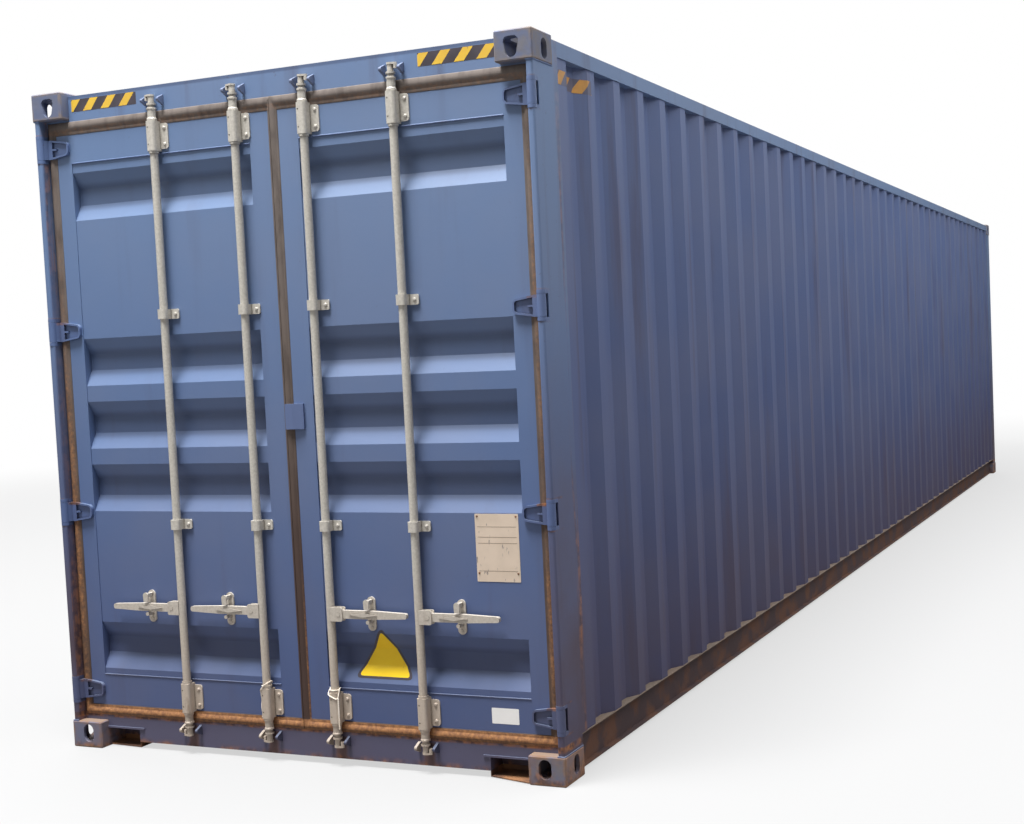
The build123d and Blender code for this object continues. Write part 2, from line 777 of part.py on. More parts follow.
with BuildPart() as hinges:
    for level in hinge_levels:
        with BuildSketch(Plane.XY.offset(level - barrel_height / 2)):
            with Locations((x_pin, y_pin)):
                Circle(barrel_radius)
        extrude(amount=barrel_height)
        with BuildSketch(Plane.XY.offset(level - blade_root_height / 2)):
            with BuildLine():
                Polyline((x_pin, y_pin + barrel_radius), (x_pin, y_pin), (x_pin - barrel_radius, y_pin),
                         (x_pin - barrel_radius - blade_rim, y_leaf - blade_thickness),
                         (leaf_outer, y_leaf - blade_thickness), (leaf_outer, y_neck_back),
                         (x_pin - barrel_radius, y_neck_back), close=True)
            make_face()
        extrude(amount=blade_root_height)
        with BuildSketch(Plane.XZ.offset(-y_leaf)):
            add(blade_outline(level))
        extrude(amount=blade_thickness)
        with BuildSketch(Plane.XZ.offset(blade_thickness - y_leaf)):
            add(blade_outline(level))
            offset(amount=-blade_rim, mode=Mode.REPLACE)
        extrude(amount=-blade_hollow, mode=Mode.SUBTRACT)
        with Locations((leaf_outer - blade_rib_length / 2, y_leaf - blade_thickness / 2, level)):
            Box(blade_rib_length, blade_thickness, blade_rib_height)
    with Locations(*[(x_pin, y_pin, level) for level in hinge_levels]):
        Cylinder(pin_radius + pin_clearance, barrel_height, mode=Mode.SUBTRACT)
with BuildPart() as left_hinges:
    mirror(hinges.part, about=Plane.YZ)
save(hinges.part, "right_door_hinges")
save(left_hinges.part, "left_door_hinges")


# Bar brackets: a pressed cover round the bar and a flange to its right, tall ones beside the
# leaf's ends and short ones between
y_cover = y_bar - cover_radius
bracket_sizes = ((low_bracket, long_bracket_height, long_flange_height, long_flange_corner),
                 (high_bracket, long_bracket_height, long_flange_height, long_flange_corner),
                 (leaf_mid - short_bracket_spread, short_bracket_height, short_bracket_height,
                  short_flange_corner),
                 (leaf_mid + short_bracket_spread, short_bracket_height, short_bracket_height,
                  short_flange_corner))
for x_sign, side_name, places in door_sides:
    with BuildPart() as brackets:
        for place in places:
            for centre, cover_tall, flange_tall, corner in bracket_sizes:
                with BuildSketch(Plane.XY.offset(centre - cover_tall / 2)) as cover:
                    with Locations((place, (y_cover + y_leaf) / 2)):
                        Rectangle(2 * cover_radius, y_leaf - y_cover)
                    fillet(cover.vertices().group_by(Axis.Y)[0], cover_corner)
                extrude(amount=cover_tall)
                with BuildSketch(Plane.XZ.offset(-y_leaf)) as flange:
                    with Locations((place + flange_reach / 2, centre)):
                        Rectangle(flange_reach, flange_tall)
                    fillet(flange.vertices().group_by(Axis.X)[-1], corner)
                extrude(amount=flange_thickness)
                with Locations((place, y_bar, centre)):
                    Cylinder(bar_radius + bar_clearance, cover_tall, mode=Mode.SUBTRACT)
            for centre in (low_bracket, high_bracket):
                with BuildSketch(Plane.XZ.offset(-y_cover)):
                    with Locations((place - cover_hole_offset, centre - cover_hole_height),
                                   (place - cover_hole_offset, centre + cover_hole_height)):
                        Circle(cover_hole_radius)
                extrude(amount=-cover_hole_depth, mode=Mode.SUBTRACT)
    save(brackets.part, f"{side_name}_bar_brackets")


def bar_end(place, bracket, tip, z_sign):
    """Half outline of a bar's end, from its bracket outward to the top of its cam."""
    inner_face = bracket - z_sign * (long_bracket_height / 2 + collar_gap)
    outer_face = bracket + z_sign * (long_bracket_height / 2 + collar_gap)
    collar_end = outer_face + z_sign * collar_height
    ring_end = tip - z_sign * neck_height
    ring_start = ring_end - z_sign * ring_height
    cam_end = tip + z_sign * cam_height
    steps = ((bar_radius, inner_face - z_sign * inner_collar_height),
             (inner_collar_radius, inner_face - z_sign * inner_collar_height),
             (inner_collar_radius, inner_face), (bar_radius, inner_face),
             (bar_radius, outer_face), (collar_radius, outer_face), (collar_radius, collar_end),
             (shank_radius, collar_end + z_sign * collar_taper), (shank_radius, ring_start),
             (ring_radius, ring_start + z_sign * ring_edge),
             (ring_radius, ring_end - z_sign * ring_edge), (neck_radius, ring_end),
             (neck_radius, tip), (disc_radius, tip), (disc_radius, tip + z_sign * disc_height),
             (cam_radius, tip + z_sign * disc_height), (cam_radius, cam_end), (0, cam_end))
    return [(place + radius, level) for radius, level in steps]


# Locking bars with collars and a horned cam at each end, and a forked hub for the handle
y_hub_front = y_door + hub_inset
y_handle = y_hub_front + hub_plate + hub_slot_clearance + handle_thickness / 2
y_hub_back = y_handle + handle_thickness / 2 + hub_slot_clearance + hub_plate
slot_width = handle_thickness + 2 * hub_slot_clearance
for place, name in bar_places:
    handle_sign = -1 if place < 0 else 1
    x_hub_root = place + handle_sign * (bar_radius - hub_root)
    x_hub_end = place + handle_sign * (bar_radius + hub_length)
    x_slot = place + handle_sign * (bar_radius + hub_root / 2)
    x_rivet = place + handle_sign * (bar_radius + hub_length / 2 + rivet_offset)
    with BuildPart() as bar:
        with BuildSketch(Plane.XZ.offset(-y_bar)):
            with BuildLine():
                Polyline(*reversed(bar_end(place, low_bracket, bar_bottom, -1)),
                         *bar_end(place, high_bracket, bar_top, 1), close=True)
            make_face()
        revolve(axis=Axis((place, y_bar, 0), (0, 0, 1)))
        for tip, z_sign in ((bar_bottom, -1), (bar_top, 1)):
            with BuildSketch(Plane.XY.offset(tip + z_sign * (cam_height - cam_plate))):
                with Locations((place, y_bar)):
                    Circle(cam_plate_radius)
                with Locations((place + handle_sign * (horn_reach - horn_radius), y_bar)):
                    Circle(horn_radius)
                make_hull()
            extrude(amount=z_sign * cam_plate)
            with BuildSketch(Plane.XY.offset(tip + z_sign * (cam_height - horn_height))):
                with Locations((place + handle_sign * (horn_reach - horn_radius), y_bar)):
                    Circle(horn_radius)
            extrude(amount=z_sign * horn_height)
        with BuildSketch(Plane.XZ.offset(-y_hub_front)) as hub:
            with Locations(((x_hub_root + x_hub_end) / 2, handle_height)):
                Rectangle(hub_root + hub_length, hub_height)
            far = -1 if place > 0 else 0
            fillet(hub.vertices().group_by(Axis.X)[far], hub_corner)
        extrude(amount=y_hub_front - y_hub_back)
        with Locations(((x_slot + x_hub_end) / 2, y_handle, handle_height)):
            Box(abs(x_hub_end - x_slot), slot_width, hub_height, mode=Mode.SUBTRACT)
        with Locations(Location((x_rivet, (y_hub_front + y_hub_back) / 2, handle_height), (90, 0, 0))):
            Cylinder(rivet_radius, y_hub_back - y_hub_front + rivet_head)
    save(bar.part, f"{name}_locking_bar")

    # Handle: a flat forging with a narrowing grip and a raised rib where the catch crosses it
    x_root = x_slot + handle_sign * handle_root_gap
    x_end = place + handle_sign * handle_reach
    x_grip = x_end - handle_sign * grip_length
    x_rib = place + handle_sign * (retainer_offset - rib_offset)
    with BuildPart() as handle:
        with BuildSketch(Plane.XZ.offset(handle_thickness / 2 - y_handle)) as blank:
            with BuildLine():
                Polyline((x_root, handle_height - handle_width / 2),
                         (x_grip, handle_height - handle_width / 2),
                         (x_end, handle_height - handle_tip / 2),
                         (x_end, handle_height + handle_tip / 2),
                         (x_grip, handle_height + handle_width / 2),
                         (x_root, handle_height + handle_width / 2), close=True)
            make_face()
            fillet(blank.vertices().group_by(Axis.X)[far], handle_corner)
            with Locations((x_rivet, handle_height)):
                Circle(rivet_radius + pin_clearance, mode=Mode.SUBTRACT)
        extrude(amount=-handle_thickness)
        with BuildSketch(Plane.XZ.offset(handle_thickness / 2 - y_handle)):
            with BuildLine():
                Polyline((x_rib - rib_length / 2, handle_height), (x_rib, handle_height - rib_width / 2),
                         (x_rib + rib_length / 2, handle_height), (x_rib, handle_height + rib_width / 2),
                         close=True)
            make_face()
        extrude(amount=rib_thickness)
    save(handle.part, f"{name}_handle")

# Handle retainers: a plate with round ends on the panel, a catch that hangs above the handle
# and a rest below it
y_panel = y_leaf + panel_inset
z_catch_foot = handle_height + handle_width / 2 + catch_gap
z_rest = handle_height - handle_width / 2 - rest_gap - rest_radius
for x_sign, side_name, places in door_sides:
    with BuildPart() as retainers:
        for place in places:
            x_plate = place + x_sign * retainer_offset
            z_catch = handle_height + (retainer_height - retainer_width) / 2
            with BuildSketch(Plane.XZ.offset(-y_panel)):
                with Locations((x_plate, handle_height)):
                    SlotOverall(retainer_height, retainer_width, rotation=90)
            extrude(amount=retainer_plate)
            with Locations((x_plate, (y_panel + y_hub_front) / 2, z_catch)):
                Box(retainer_post, y_panel - y_hub_front, retainer_post)
            with BuildSketch(Plane.XZ.offset(-y_hub_front - catch_thickness)):
                with Locations((x_plate, z_catch)):
                    Circle(catch_radius)
                with BuildLine():
                    Line((x_plate - catch_tip / 2, z_catch_foot), (x_plate + catch_tip / 2, z_catch_foot))
                make_hull()
            extrude(amount=catch_thickness)
            with BuildSketch(Plane.XZ.offset(-y_panel)):
                with Locations((x_plate, z_rest)):
                    Circle(rest_radius)
            extrude(amount=y_panel - y_hub_front - hub_plate)
    save(retainers.part, f"{side_name}_handle_retainers")

# Overlap tab on the right leaf: a plate bent forward where it crosses the seam
x_tab = right_gasket_seam
x_tab_end = x_tab + tab_width
x_crease = x_tab + tab_crease
with BuildPart() as tab:
    with BuildSketch(Plane.XY.offset(leaf_mid - tab_height / 2)):
        with BuildLine():
            Polyline((x_tab, y_gasket_front), (x_tab, y_gasket_front - tab_thickness - tab_step),
                     (x_crease, y_gasket_front - tab_thickness - tab_step),
                     (x_tab_end, y_leaf - tab_thickness), (x_tab_end, y_leaf), (right_seam, y_leaf),
                     (right_seam, y_gasket_front), close=True)
        make_face()
    extrude(amount=tab_height)
save(tab.part, "door_overlap_tab")
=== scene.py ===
"""Looks of a forty-foot high-cube freight container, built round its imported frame."""

import logging
import math
from dataclasses import dataclass, field
from enum import Enum

import bmesh
import bpy
from mathutils import Matrix, Vector


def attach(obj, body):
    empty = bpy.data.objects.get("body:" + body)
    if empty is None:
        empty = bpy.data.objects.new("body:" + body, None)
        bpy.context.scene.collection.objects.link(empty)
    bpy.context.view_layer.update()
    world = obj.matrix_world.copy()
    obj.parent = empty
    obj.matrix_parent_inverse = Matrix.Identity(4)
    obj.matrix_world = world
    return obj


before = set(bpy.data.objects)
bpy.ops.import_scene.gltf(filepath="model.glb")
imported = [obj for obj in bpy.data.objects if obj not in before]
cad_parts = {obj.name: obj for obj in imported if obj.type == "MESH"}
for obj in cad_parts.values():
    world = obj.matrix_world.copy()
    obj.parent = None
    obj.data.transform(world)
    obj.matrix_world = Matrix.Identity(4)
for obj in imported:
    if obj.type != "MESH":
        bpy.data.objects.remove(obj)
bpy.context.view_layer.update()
log = logging.getLogger("container")

Point = tuple[float, float, float]
Flat = tuple[float, float]
Colour = tuple[float, float, float, float]


def tint(red: int, green: int, blue: int) -> Colour:
    """Linear colour with alpha of a display colour, whose channels run from 0 to 255."""
    def linear(value: int) -> float:
        """One channel, from display to linear."""
        share = value / 255
        return share / 12.92 if share <= 0.04045 else ((share + 0.055) / 1.055) ** 2.4
    return (linear(red), linear(green), linear(blue), 1.0)


class Body(str, Enum):
    """The moving bodies that a piece may ride on."""

    FRAME = "frame"
    LEFT_DOOR = "left_door"
    RIGHT_DOOR = "right_door"


class Slot(str, Enum):
    """The record's material slots."""

    FRAME_PAINT = "frame_paint"
    DOOR_PAINT = "door_paint"
    WALL_PAINT = "wall_paint"
    CASTING_PAINT = "casting_paint"
    UNDERFRAME = "underframe_paint"
    ZINC = "galvanised_steel"
    RUBBER = "seal_rubber"
    PLYWOOD = "deck_plywood"


class Sock:
    """A node's output that takes part in Python sums."""

    def __init__(self, graph: "Graph", socket: bpy.types.NodeSocket) -> None:
        """Keeps the graph and the socket."""
        self.graph = graph
        self.socket = socket

    def maths(self, operation: str, first: "Sock | float", second: "Sock | float") -> "Sock":
        """The result of a new Math node with this operation and these two values."""
        node = self.graph.node("ShaderNodeMath", {"operation": operation}, {0: first, 1: second})
        return self.graph.out(node)

    def __add__(self, other: "Sock | float") -> "Sock":
        """self + other."""
        return self.maths("ADD", self, other)

    def __radd__(self, other: float) -> "Sock":
        """other + self."""
        return self.maths("ADD", other, self)

    def __sub__(self, other: "Sock | float") -> "Sock":
        """self - other."""
        return self.maths("SUBTRACT", self, other)

    def __rsub__(self, other: float) -> "Sock":
        """other - self."""
        return self.maths("SUBTRACT", other, self)

    def __mul__(self, other: "Sock | float") -> "Sock":
        """self * other."""
        return self.maths("MULTIPLY", self, other)

    def __rmul__(self, other: float) -> "Sock":
        """other * self."""
        return self.maths("MULTIPLY", other, self)

    def __abs__(self) -> "Sock":
        """The value without its sign."""
        return self.maths("ABSOLUTE", self, 0.0)

    def most(self, other: "Sock | float") -> "Sock":
        """The larger of two values."""
        return self.maths("MAXIMUM", self, other)

    def least(self, other: "Sock | float") -> "Sock":
        """The smaller of two values."""
        return self.maths("MINIMUM", self, other)

    def nearest(self, first: float, pitch: float) -> "Sock":
        """Signed distance to the nearest of a row of places that starts at first."""
        turns = (self + (pitch / 2 - first)) * (1 / pitch)
        return (self.maths("FRACT", turns, 0.0) - 0.5) * pitch

    def rise(self, low: float, high: float) -> "Sock":
        """A smooth step, 0 at low and 1 at high, or the reverse where low is above high."""
        flip = low > high
        return self.graph.out(self.graph.node(
            "ShaderNodeMapRange", {"interpolation_type": "SMOOTHSTEP", "clamp": True},
            {"Value": self, "From Min": min(low, high), "From Max": max(low, high),
             "To Min": float(flip), "To Max": float(not flip)}))

    def band(self, low: float, high: float, soft: float) -> "Sock":
        """1 between low and high, fading to 0 over soft on each side."""
        return self.rise(low - soft, low) * self.rise(high + soft, high)


class Graph:
    """A node tree and the one method that adds its nodes."""

    def __init__(self, tree: bpy.types.NodeTree) -> None:
        """Empties the tree and keeps it."""
        self.tree = tree
        tree.nodes.clear()

    def node(self, kind: str, settings: dict | None = None,
             sockets: dict | None = None) -> bpy.types.Node:
        """Adds a node.

        Args:
            kind: the node's type.
            settings: its properties, set first.
            sockets: values or links of its inputs, by name or number.

        Returns:
            The new node.
        """
        node = self.tree.nodes.new(kind)
        for key, value in (settings or {}).items():
            setattr(node, key, value)
        for key, value in (sockets or {}).items():
            if isinstance(value, Sock):
                self.tree.links.new(value.socket, node.inputs[key])
            else:
                node.inputs[key].default_value = value
        return node

    def out(self, node: bpy.types.Node, name: str | int = 0) -> Sock:
        """An output of a node, wrapped."""
        return Sock(self, node.outputs[name])


class Shader(Graph):
    """The node tree of one material, with the object's own coordinates at hand."""

    def __init__(self, name: str) -> None:
        """Makes the material and its coordinate nodes."""
        self.material = bpy.data.materials.new(name)
        self.material.use_nodes = True
        super().__init__(self.material.node_tree)
        coordinates = self.node("ShaderNodeTexCoord")
        self.place = self.out(coordinates, "Object")
        parts = self.node("ShaderNodeSeparateXYZ", None, {0: self.place})
        self.x, self.y, self.z = (self.out(parts, i) for i in range(3))
        facing = self.node("ShaderNodeSeparateXYZ", None, {0: self.out(coordinates, "Normal")})
        self.up = self.out(facing, 2)

    def noise(self, scale: float, detail: float = 4.0, stretch: Point = (1.0, 1.0, 1.0),
              rough: float = 0.55) -> Sock:
        """Noise on the object's coordinates.

        Args:
            scale: cells per metre.
            detail: octaves.
            stretch: factors along x, y and z.
            rough: weight of the fine octaves.

        Returns:
            A value round 0.5.
        """
        scaled = self.node("ShaderNodeVectorMath", {"operation": "MULTIPLY"},
                           {0: self.place, 1: stretch})
        return self.out(self.node("ShaderNodeTexNoise", None, {
            "Vector": self.out(scaled), "Scale": scale, "Detail": detail, "Roughness": rough}))

    def blotches(self, scale: float, detail: float, low: float, high: float,
                 stretch: Point = (1.0, 1.0, 1.0)) -> Sock:
        """Noise made into patches, bare where it is below low and full where it is above high."""
        return self.noise(scale, detail, stretch).rise(low, high)

    def mix(self, factor: Sock | float, first: Sock | Colour, second: Sock | Colour) -> Sock:
        """Blends two colours by a factor."""
        return self.out(self.node("ShaderNodeMix", {"data_type": "RGBA", "clamp_factor": True},
                                  {0: factor, 6: first, 7: second}), 2)

    def coats(self, colour: Sock | Colour, *layers: tuple[Sock | float, Sock | Colour]) -> Sock:
        """Lays coats over a colour, each with its share and its own colour."""
        for share, layer in layers:
            colour = self.mix(share, colour, layer)
        return colour

    def crevice_shade(self, reach: float) -> Sock:
        """How deep in a corner of its own piece a point lies, 0 to 1, for painting shade there."""
        node = self.node("ShaderNodeAmbientOcclusion", {"samples": 6, "only_local": True},
                         {"Distance": reach})
        return 1.0 - self.out(node, "AO")

    def finish(self, colour: Sock, rough: Sock | float, metal: float, relief: Sock,
               depth: float, strength: float) -> bpy.types.Material:
        """Closes the tree with its surface.

        Args:
            colour: base colour.
            rough: roughness.
            metal: metallic.
            relief: height for the bump.
            depth: height of the bump in metres.
            strength: share of the bump.

        Returns:
            The material.
        """
        bump = self.node("ShaderNodeBump", None,
                         {"Strength": strength, "Distance": depth, "Height": relief})
        surface = self.node("ShaderNodeBsdfPrincipled", None, {
            "Base Color": colour, "Roughness": rough, "Metallic": metal, "Normal": self.out(bump)})
        self.node("ShaderNodeOutputMaterial", None, {"Surface": self.out(surface)})
        return self.material


RUST_DARK = tint(78, 50, 38)
RUST_ORANGE = tint(166, 108, 58)
DUST = tint(150, 140, 130)
WHITE: Colour = (1.0, 1.0, 1.0, 1.0)

# Places that several pieces share, in metres: the locking bars along x, and the front faces
# of the leaves' rails and of their panels along y.
BARS = (-0.588, -0.170, 0.170, 0.588)
LEAF_FACE = -6.044
PANEL_FACE = -6.041


@dataclass(frozen=True)
class WeatheredPaint:
    """Satin paint that is paler above, dirtier below, with streaks, chips and rust, with painted shade in
    recesses and corners, settled dust with a painted sheen on faces that look up, and painted highlight at the
    hinge notches' ends.
    """

    name: str
    high: Colour = tint(102, 127, 166)
    low: Colour = tint(72, 90, 136)
    grime: Colour = tint(74, 64, 74)
    grime_top: float = 1.3
    grime_share: float = 0.55
    streaks: float = 0.35
    chips: float = 0.30
    seam_rust: float = 0.0
    edge_rust: float = 0.0
    blade_rust: float = 0.0
    # Share of painted shade in the piece's own corners, found by ambient occlusion.
    crevice_shade: float = 0.0
    crevice_shade_reach: float = 0.020
    # Share of settled dust and painted sheen on faces that look up.
    settled_dust_and_sheen: float = 0.5
    # Share of painted shade on the door panels' recessed flats.
    recess_shade: float = 0.0
    zinc_left_of: tuple[float, ...] = ()
    # Colour of the settled dust and painted sheen on faces that look up.
    dust: Colour = tint(116, 130, 150)
    bar_pairs: Flat = (0.379, 0.209)
    hinge_first: float = 0.2575
    hinge_pitch: float = 0.79967

    def rust(self, s: Shader) -> Sock:
        """Rust along the sill's edge, the posts' edges and lips, and round the hinges, with painted highlight on
        the post edges at the hinge notches' ends.

        Args:
            s: the material's nodes.

        Returns:
            How far the paint is rust, with painted highlight at the notches' ends, 0 to 1.
        """
        broken = s.blotches(14, 6, 0.40, 0.60)
        seam = s.z.band(0.136, 0.152, 0.010) * (0.4 + broken * 0.6)
        foot = s.z.rise(0.055, 0.018) * broken
        rust = seam.most(foot) * self.seam_rust
        if self.edge_rust:
            runs = s.blotches(30, 6, 0.40, 0.66, (1.0, 1.0, 0.05))
            back = s.y.band(-5.895, -5.875, 0.022) * runs * s.z.rise(3.6, 0.4)
            lip = (abs(s.x).band(1.1825, 1.1855, 0.001) * s.y.rise(-6.092, -6.082)
                   * s.y.rise(-5.9, -6.0))
            streak = s.blotches(30, 6, 0.42, 0.66, (1.0, 1.0, 0.06))
            # Rust and painted highlight: cream-orange lines on the post edges at the hinge notches' ends.
            near = abs(s.z.nearest(self.hinge_first, self.hinge_pitch))
            notch_rust_and_highlight = (near.band(0.058, 0.064, 0.003) * abs(s.x).rise(1.175, 1.180)
                     * s.y.rise(-5.99, -6.02))
            rust = rust.most(back * self.edge_rust).most(lip * (0.10 + streak * 0.45))
            rust = rust.most(notch_rust_and_highlight * broken * 0.35)
        if self.blade_rust:
            above = s.z.nearest(self.hinge_first, self.hinge_pitch).rise(0.026, 0.036)
            root = abs(s.x).band(1.132, 1.176, 0.006) * s.z.rise(2.5, 1.4)
            rust = rust.most(above * root * (0.5 + broken * 0.5) * self.blade_rust)
        return rust

    def door_end(self, s: Shader, colour: Sock) -> Sock:
        """Dirt along the sill and under the cams, painted shade along the top of the header, and settled dust
        with a painted sheen on faces that look up.

        Args:
            s: the material's nodes.
            colour: the paint so far, with its streaks and grime.

        Returns:
            The paint with this dirt.
        """
        rail = abs(s.x).rise(1.175, 1.165) * s.y.rise(-6.0, -6.03) * s.z.rise(0.16, 0.14)
        # Painted shade: a dark blue strip along the top of the header's front.
        header_top_shade = s.z.rise(2.862, 2.870) * s.y.rise(-6.035, -6.042)
        middle, half = self.bar_pairs
        under_cam = abs(abs(abs(s.x) - middle) - half) + s.noise(22, 5) * 0.020
        stain = (under_cam.rise(0.046, 0.026) * s.z.band(0.015, 0.118, 0.010)
                 * s.y.rise(-6.03, -6.04))
        return s.coats(colour, (rail * (0.55 + s.noise(5, 5) * 0.5), tint(90, 88, 112)),
                       (s.up.rise(0.25, 0.80) * self.settled_dust_and_sheen, self.dust),
                       (header_top_shade * 0.45, tint(44, 50, 82)), (stain * 0.75, tint(98, 68, 56)))

    def material(self) -> bpy.types.Material:
        """The finished material."""
        s = Shader(self.name)
        cloud = s.blotches(1.6, 5, 0.30, 0.72)
        runs = s.blotches(11, 6, 0.52, 0.74, (1.0, 1.0, 0.07))
        low = s.z.rise(self.grime_top, 0.0) * (0.35 + s.noise(3.2, 6) * 0.9)
        colour = s.coats(s.mix(s.z.rise(-0.2, 2.9), self.low, self.high), (cloud * 0.10, DUST),
                         (runs * self.streaks, self.grime), (low * self.grime_share, self.grime))
        if self.edge_rust:
            colour = self.door_end(s, colour)
        else:
            # Settled dust and painted sheen: faces that look up turn paler and greyer.
            colour = s.mix(s.up.rise(0.25, 0.80) * self.settled_dust_and_sheen, colour, self.dust)
        # Painted shade: the panels' recessed flats, set back behind the face, darkened towards a dark blue.
        if self.recess_shade:
            recess = s.y.rise(-6.022, -6.008) * self.recess_shade
            colour = s.mix(recess, colour, tint(36, 36, 56))
        # Painted shade: ambient occlusion darkens the piece's own corners and creases towards a dark blue.
        if self.crevice_shade:
            corner = s.crevice_shade(self.crevice_shade_reach).rise(0.12, 0.75) * self.crevice_shade
            colour = s.mix(corner, colour, tint(40, 42, 62))
        for bar in self.zinc_left_of:
            beside = s.x.band(bar - 0.075, bar - 0.010, 0.002) * s.z.rise(0.5, 0.4)
            colour = s.mix(beside * 0.85, colour, tint(186, 172, 156))
        specks = s.noise(48, 5, rough=0.62).rise(0.665, 0.70)
        rust = self.rust(s)
        rusty = s.mix(s.blotches(26, 6, 0.40, 0.62), RUST_DARK, RUST_ORANGE)
        colour = s.coats(colour, (specks * self.chips, RUST_DARK), (rust, rusty))
        fine = s.noise(90, 3)
        rough = 0.46 + cloud * 0.10 + rust * 0.30 + fine * 0.06
        relief = s.noise(36, 4) + rust * 0.8 + fine * 0.2
        return s.finish(colour, rough, 0.0, relief, 0.0009, 0.35)


@dataclass(frozen=True)
class WornCasting:
    """Cast steel whose paint is rubbed off its edges and rusts."""

    name: str
    paint: Colour = tint(98, 107, 134)
    bare: Colour = tint(120, 114, 110)
    width: float = 0.162
    depth: float = 0.178
    height: float = 0.118
    half_width: float = 1.219
    half_length: float = 6.096
    top: float = 2.896

    def edge(self, s: Shader) -> Sock:
        """How near a point is to one of the casting's edges, 0 to 1."""
        across = self.half_width - abs(s.x)
        along = self.half_length - abs(s.y)
        up = s.z.least(self.top - s.z)
        near = [value.least(size - value) for value, size in
                ((across, self.width), (along, self.depth), (up, self.height))]
        pairs = [near[i].most(near[j]) for i, j in ((0, 1), (1, 2), (0, 2))]
        wander = s.noise(34, 5) * 0.014
        return (pairs[0].least(pairs[1]).least(pairs[2]) - wander).rise(0.010, -0.001)

    def material(self) -> bpy.types.Material:
        """The finished material."""
        s = Shader(self.name)
        blotch = s.blotches(13, 6, 0.40, 0.66)
        low = s.z.rise(0.135, 0.0) * s.z.rise(0.5, 0.1)
        rusty = s.mix(s.blotches(30, 6, 0.42, 0.62), RUST_DARK, RUST_ORANGE)
        flank = abs(s.x).rise(1.214, 1.218) * 0.40
        brown = s.z.rise(0.5, 0.2) * (0.12 + flank + s.blotches(9, 5, 0.40, 0.66) * 0.28)
        foot = s.z.rise(0.030, 0.002) * s.blotches(22, 5, 0.30, 0.60)
        shelf = s.z.rise(0.1165, 0.1175) * s.z.rise(0.5, 0.1)
        edge = self.edge(s)
        rubbed = s.mix(s.z.rise(1.6, 0.4), tint(132, 118, 108), tint(142, 108, 80))
        paint = s.mix(blotch * (0.22 + s.x.rise(-1.2, 1.2) * 0.45), self.paint, self.bare)
        colour = s.coats(paint, (brown, tint(140, 104, 82)),
                         (low * s.blotches(17, 6, 0.40, 0.64) * 0.75, rusty), (foot * 0.9, rusty),
                         (shelf * (0.5 + s.noise(15, 5) * 0.5), tint(150, 124, 98)),
                         (edge * (0.10 + s.blotches(21, 6, 0.36, 0.66) * 0.7), rubbed))
        pits = s.noise(120, 4, rough=0.6)
        rough = 0.62 + blotch * 0.12 + edge * 0.12
        return s.finish(colour, rough, 0.0, pits * 0.7 + s.noise(28, 4), 0.0014, 0.5)


@dataclass(frozen=True)
class DullZinc:
    """Hot-dip zinc gone dull and warm, with brown dust low down and painted shade in its crevices."""

    name: str
    pale: Colour = tint(209, 204, 194)
    dull: Colour = tint(191, 186, 176)
    stain: Colour = tint(128, 102, 80)

    def material(self) -> bpy.types.Material:
        """The finished material."""
        s = Shader(self.name)
        spangle = s.noise(95, 5, rough=0.65).rise(0.34, 0.68)
        runs = s.blotches(40, 5, 0.50, 0.72, (1.0, 1.0, 0.05))
        spots = s.blotches(30, 6, 0.58, 0.72, (1.0, 1.0, 0.35))
        colour = s.coats(s.mix(spangle, self.dull, self.pale),
                         (s.z.rise(1.0, 0.15) * 0.6, tint(192, 170, 150)), (runs * 0.22, self.dull),
                         (spots * (0.05 + s.z.rise(1.0, 0.1) * 0.45), self.stain),
                         # Painted shade: ambient occlusion darkens the zinc's own crevices towards a dark brown.
                         (s.crevice_shade(0.012).rise(0.10, 0.70) * 0.8, tint(76, 66, 58)))
        rough = 0.44 + spangle * 0.10 + spots * 0.20
        return s.finish(colour, rough, 0.12, spangle, 0.0003, 0.2)


@dataclass(frozen=True)
class AgedRubber:
    """Door seal, grey-brown with dust at the top and rust runs along the sill and posts."""

    name: str
    high: Colour = tint(112, 102, 96)
    low: Colour = tint(82, 64, 54)
    crack: Colour = tint(46, 36, 32)

    def material(self) -> bpy.types.Material:
        """The finished material."""
        s = Shader(self.name)
        fine = s.noise(60, 6, rough=0.65).rise(0.30, 0.70)
        sill_line = s.z.band(0.156, 0.182, 0.005) * (0.70 + fine * 0.3)
        under = s.z.rise(0.156, 0.148) * (0.35 + fine * 0.3)
        wide = s.blotches(3.2, 5, 0.34, 0.60, (1.0, 1.0, 0.5))
        sides = abs(s.x).rise(1.140, 1.160) * wide * s.z.rise(3.2, 0.5) * (0.35 + fine * 0.65)
        header = s.z.band(2.720, 2.738, 0.006) * fine * 0.30
        meeting = s.x.band(0.023, 0.030, 0.003) * s.z.rise(0.9, 0.3) * (0.25 + fine * 0.55)
        rust = sill_line.most(sides * 0.9).most(header).most(under).most(meeting)
        low_seam = abs(s.x).rise(0.038, 0.030) * s.z.rise(1.6, 0.6)
        rusty = s.mix(fine, tint(134, 90, 60), tint(178, 126, 80))
        cracks = s.blotches(26, 6, 0.40, 0.70, (1.0, 1.0, 0.3))
        colour = s.coats(s.mix(s.z.rise(0.3, 2.7), self.low, self.high),
                         (cracks * 0.45, self.crack), (low_seam * 0.75, tint(66, 46, 40)),
                         (rust, rusty))
        return s.finish(colour, 0.74 + rust * 0.12, 0.0, s.noise(50, 5), 0.0007, 0.3)


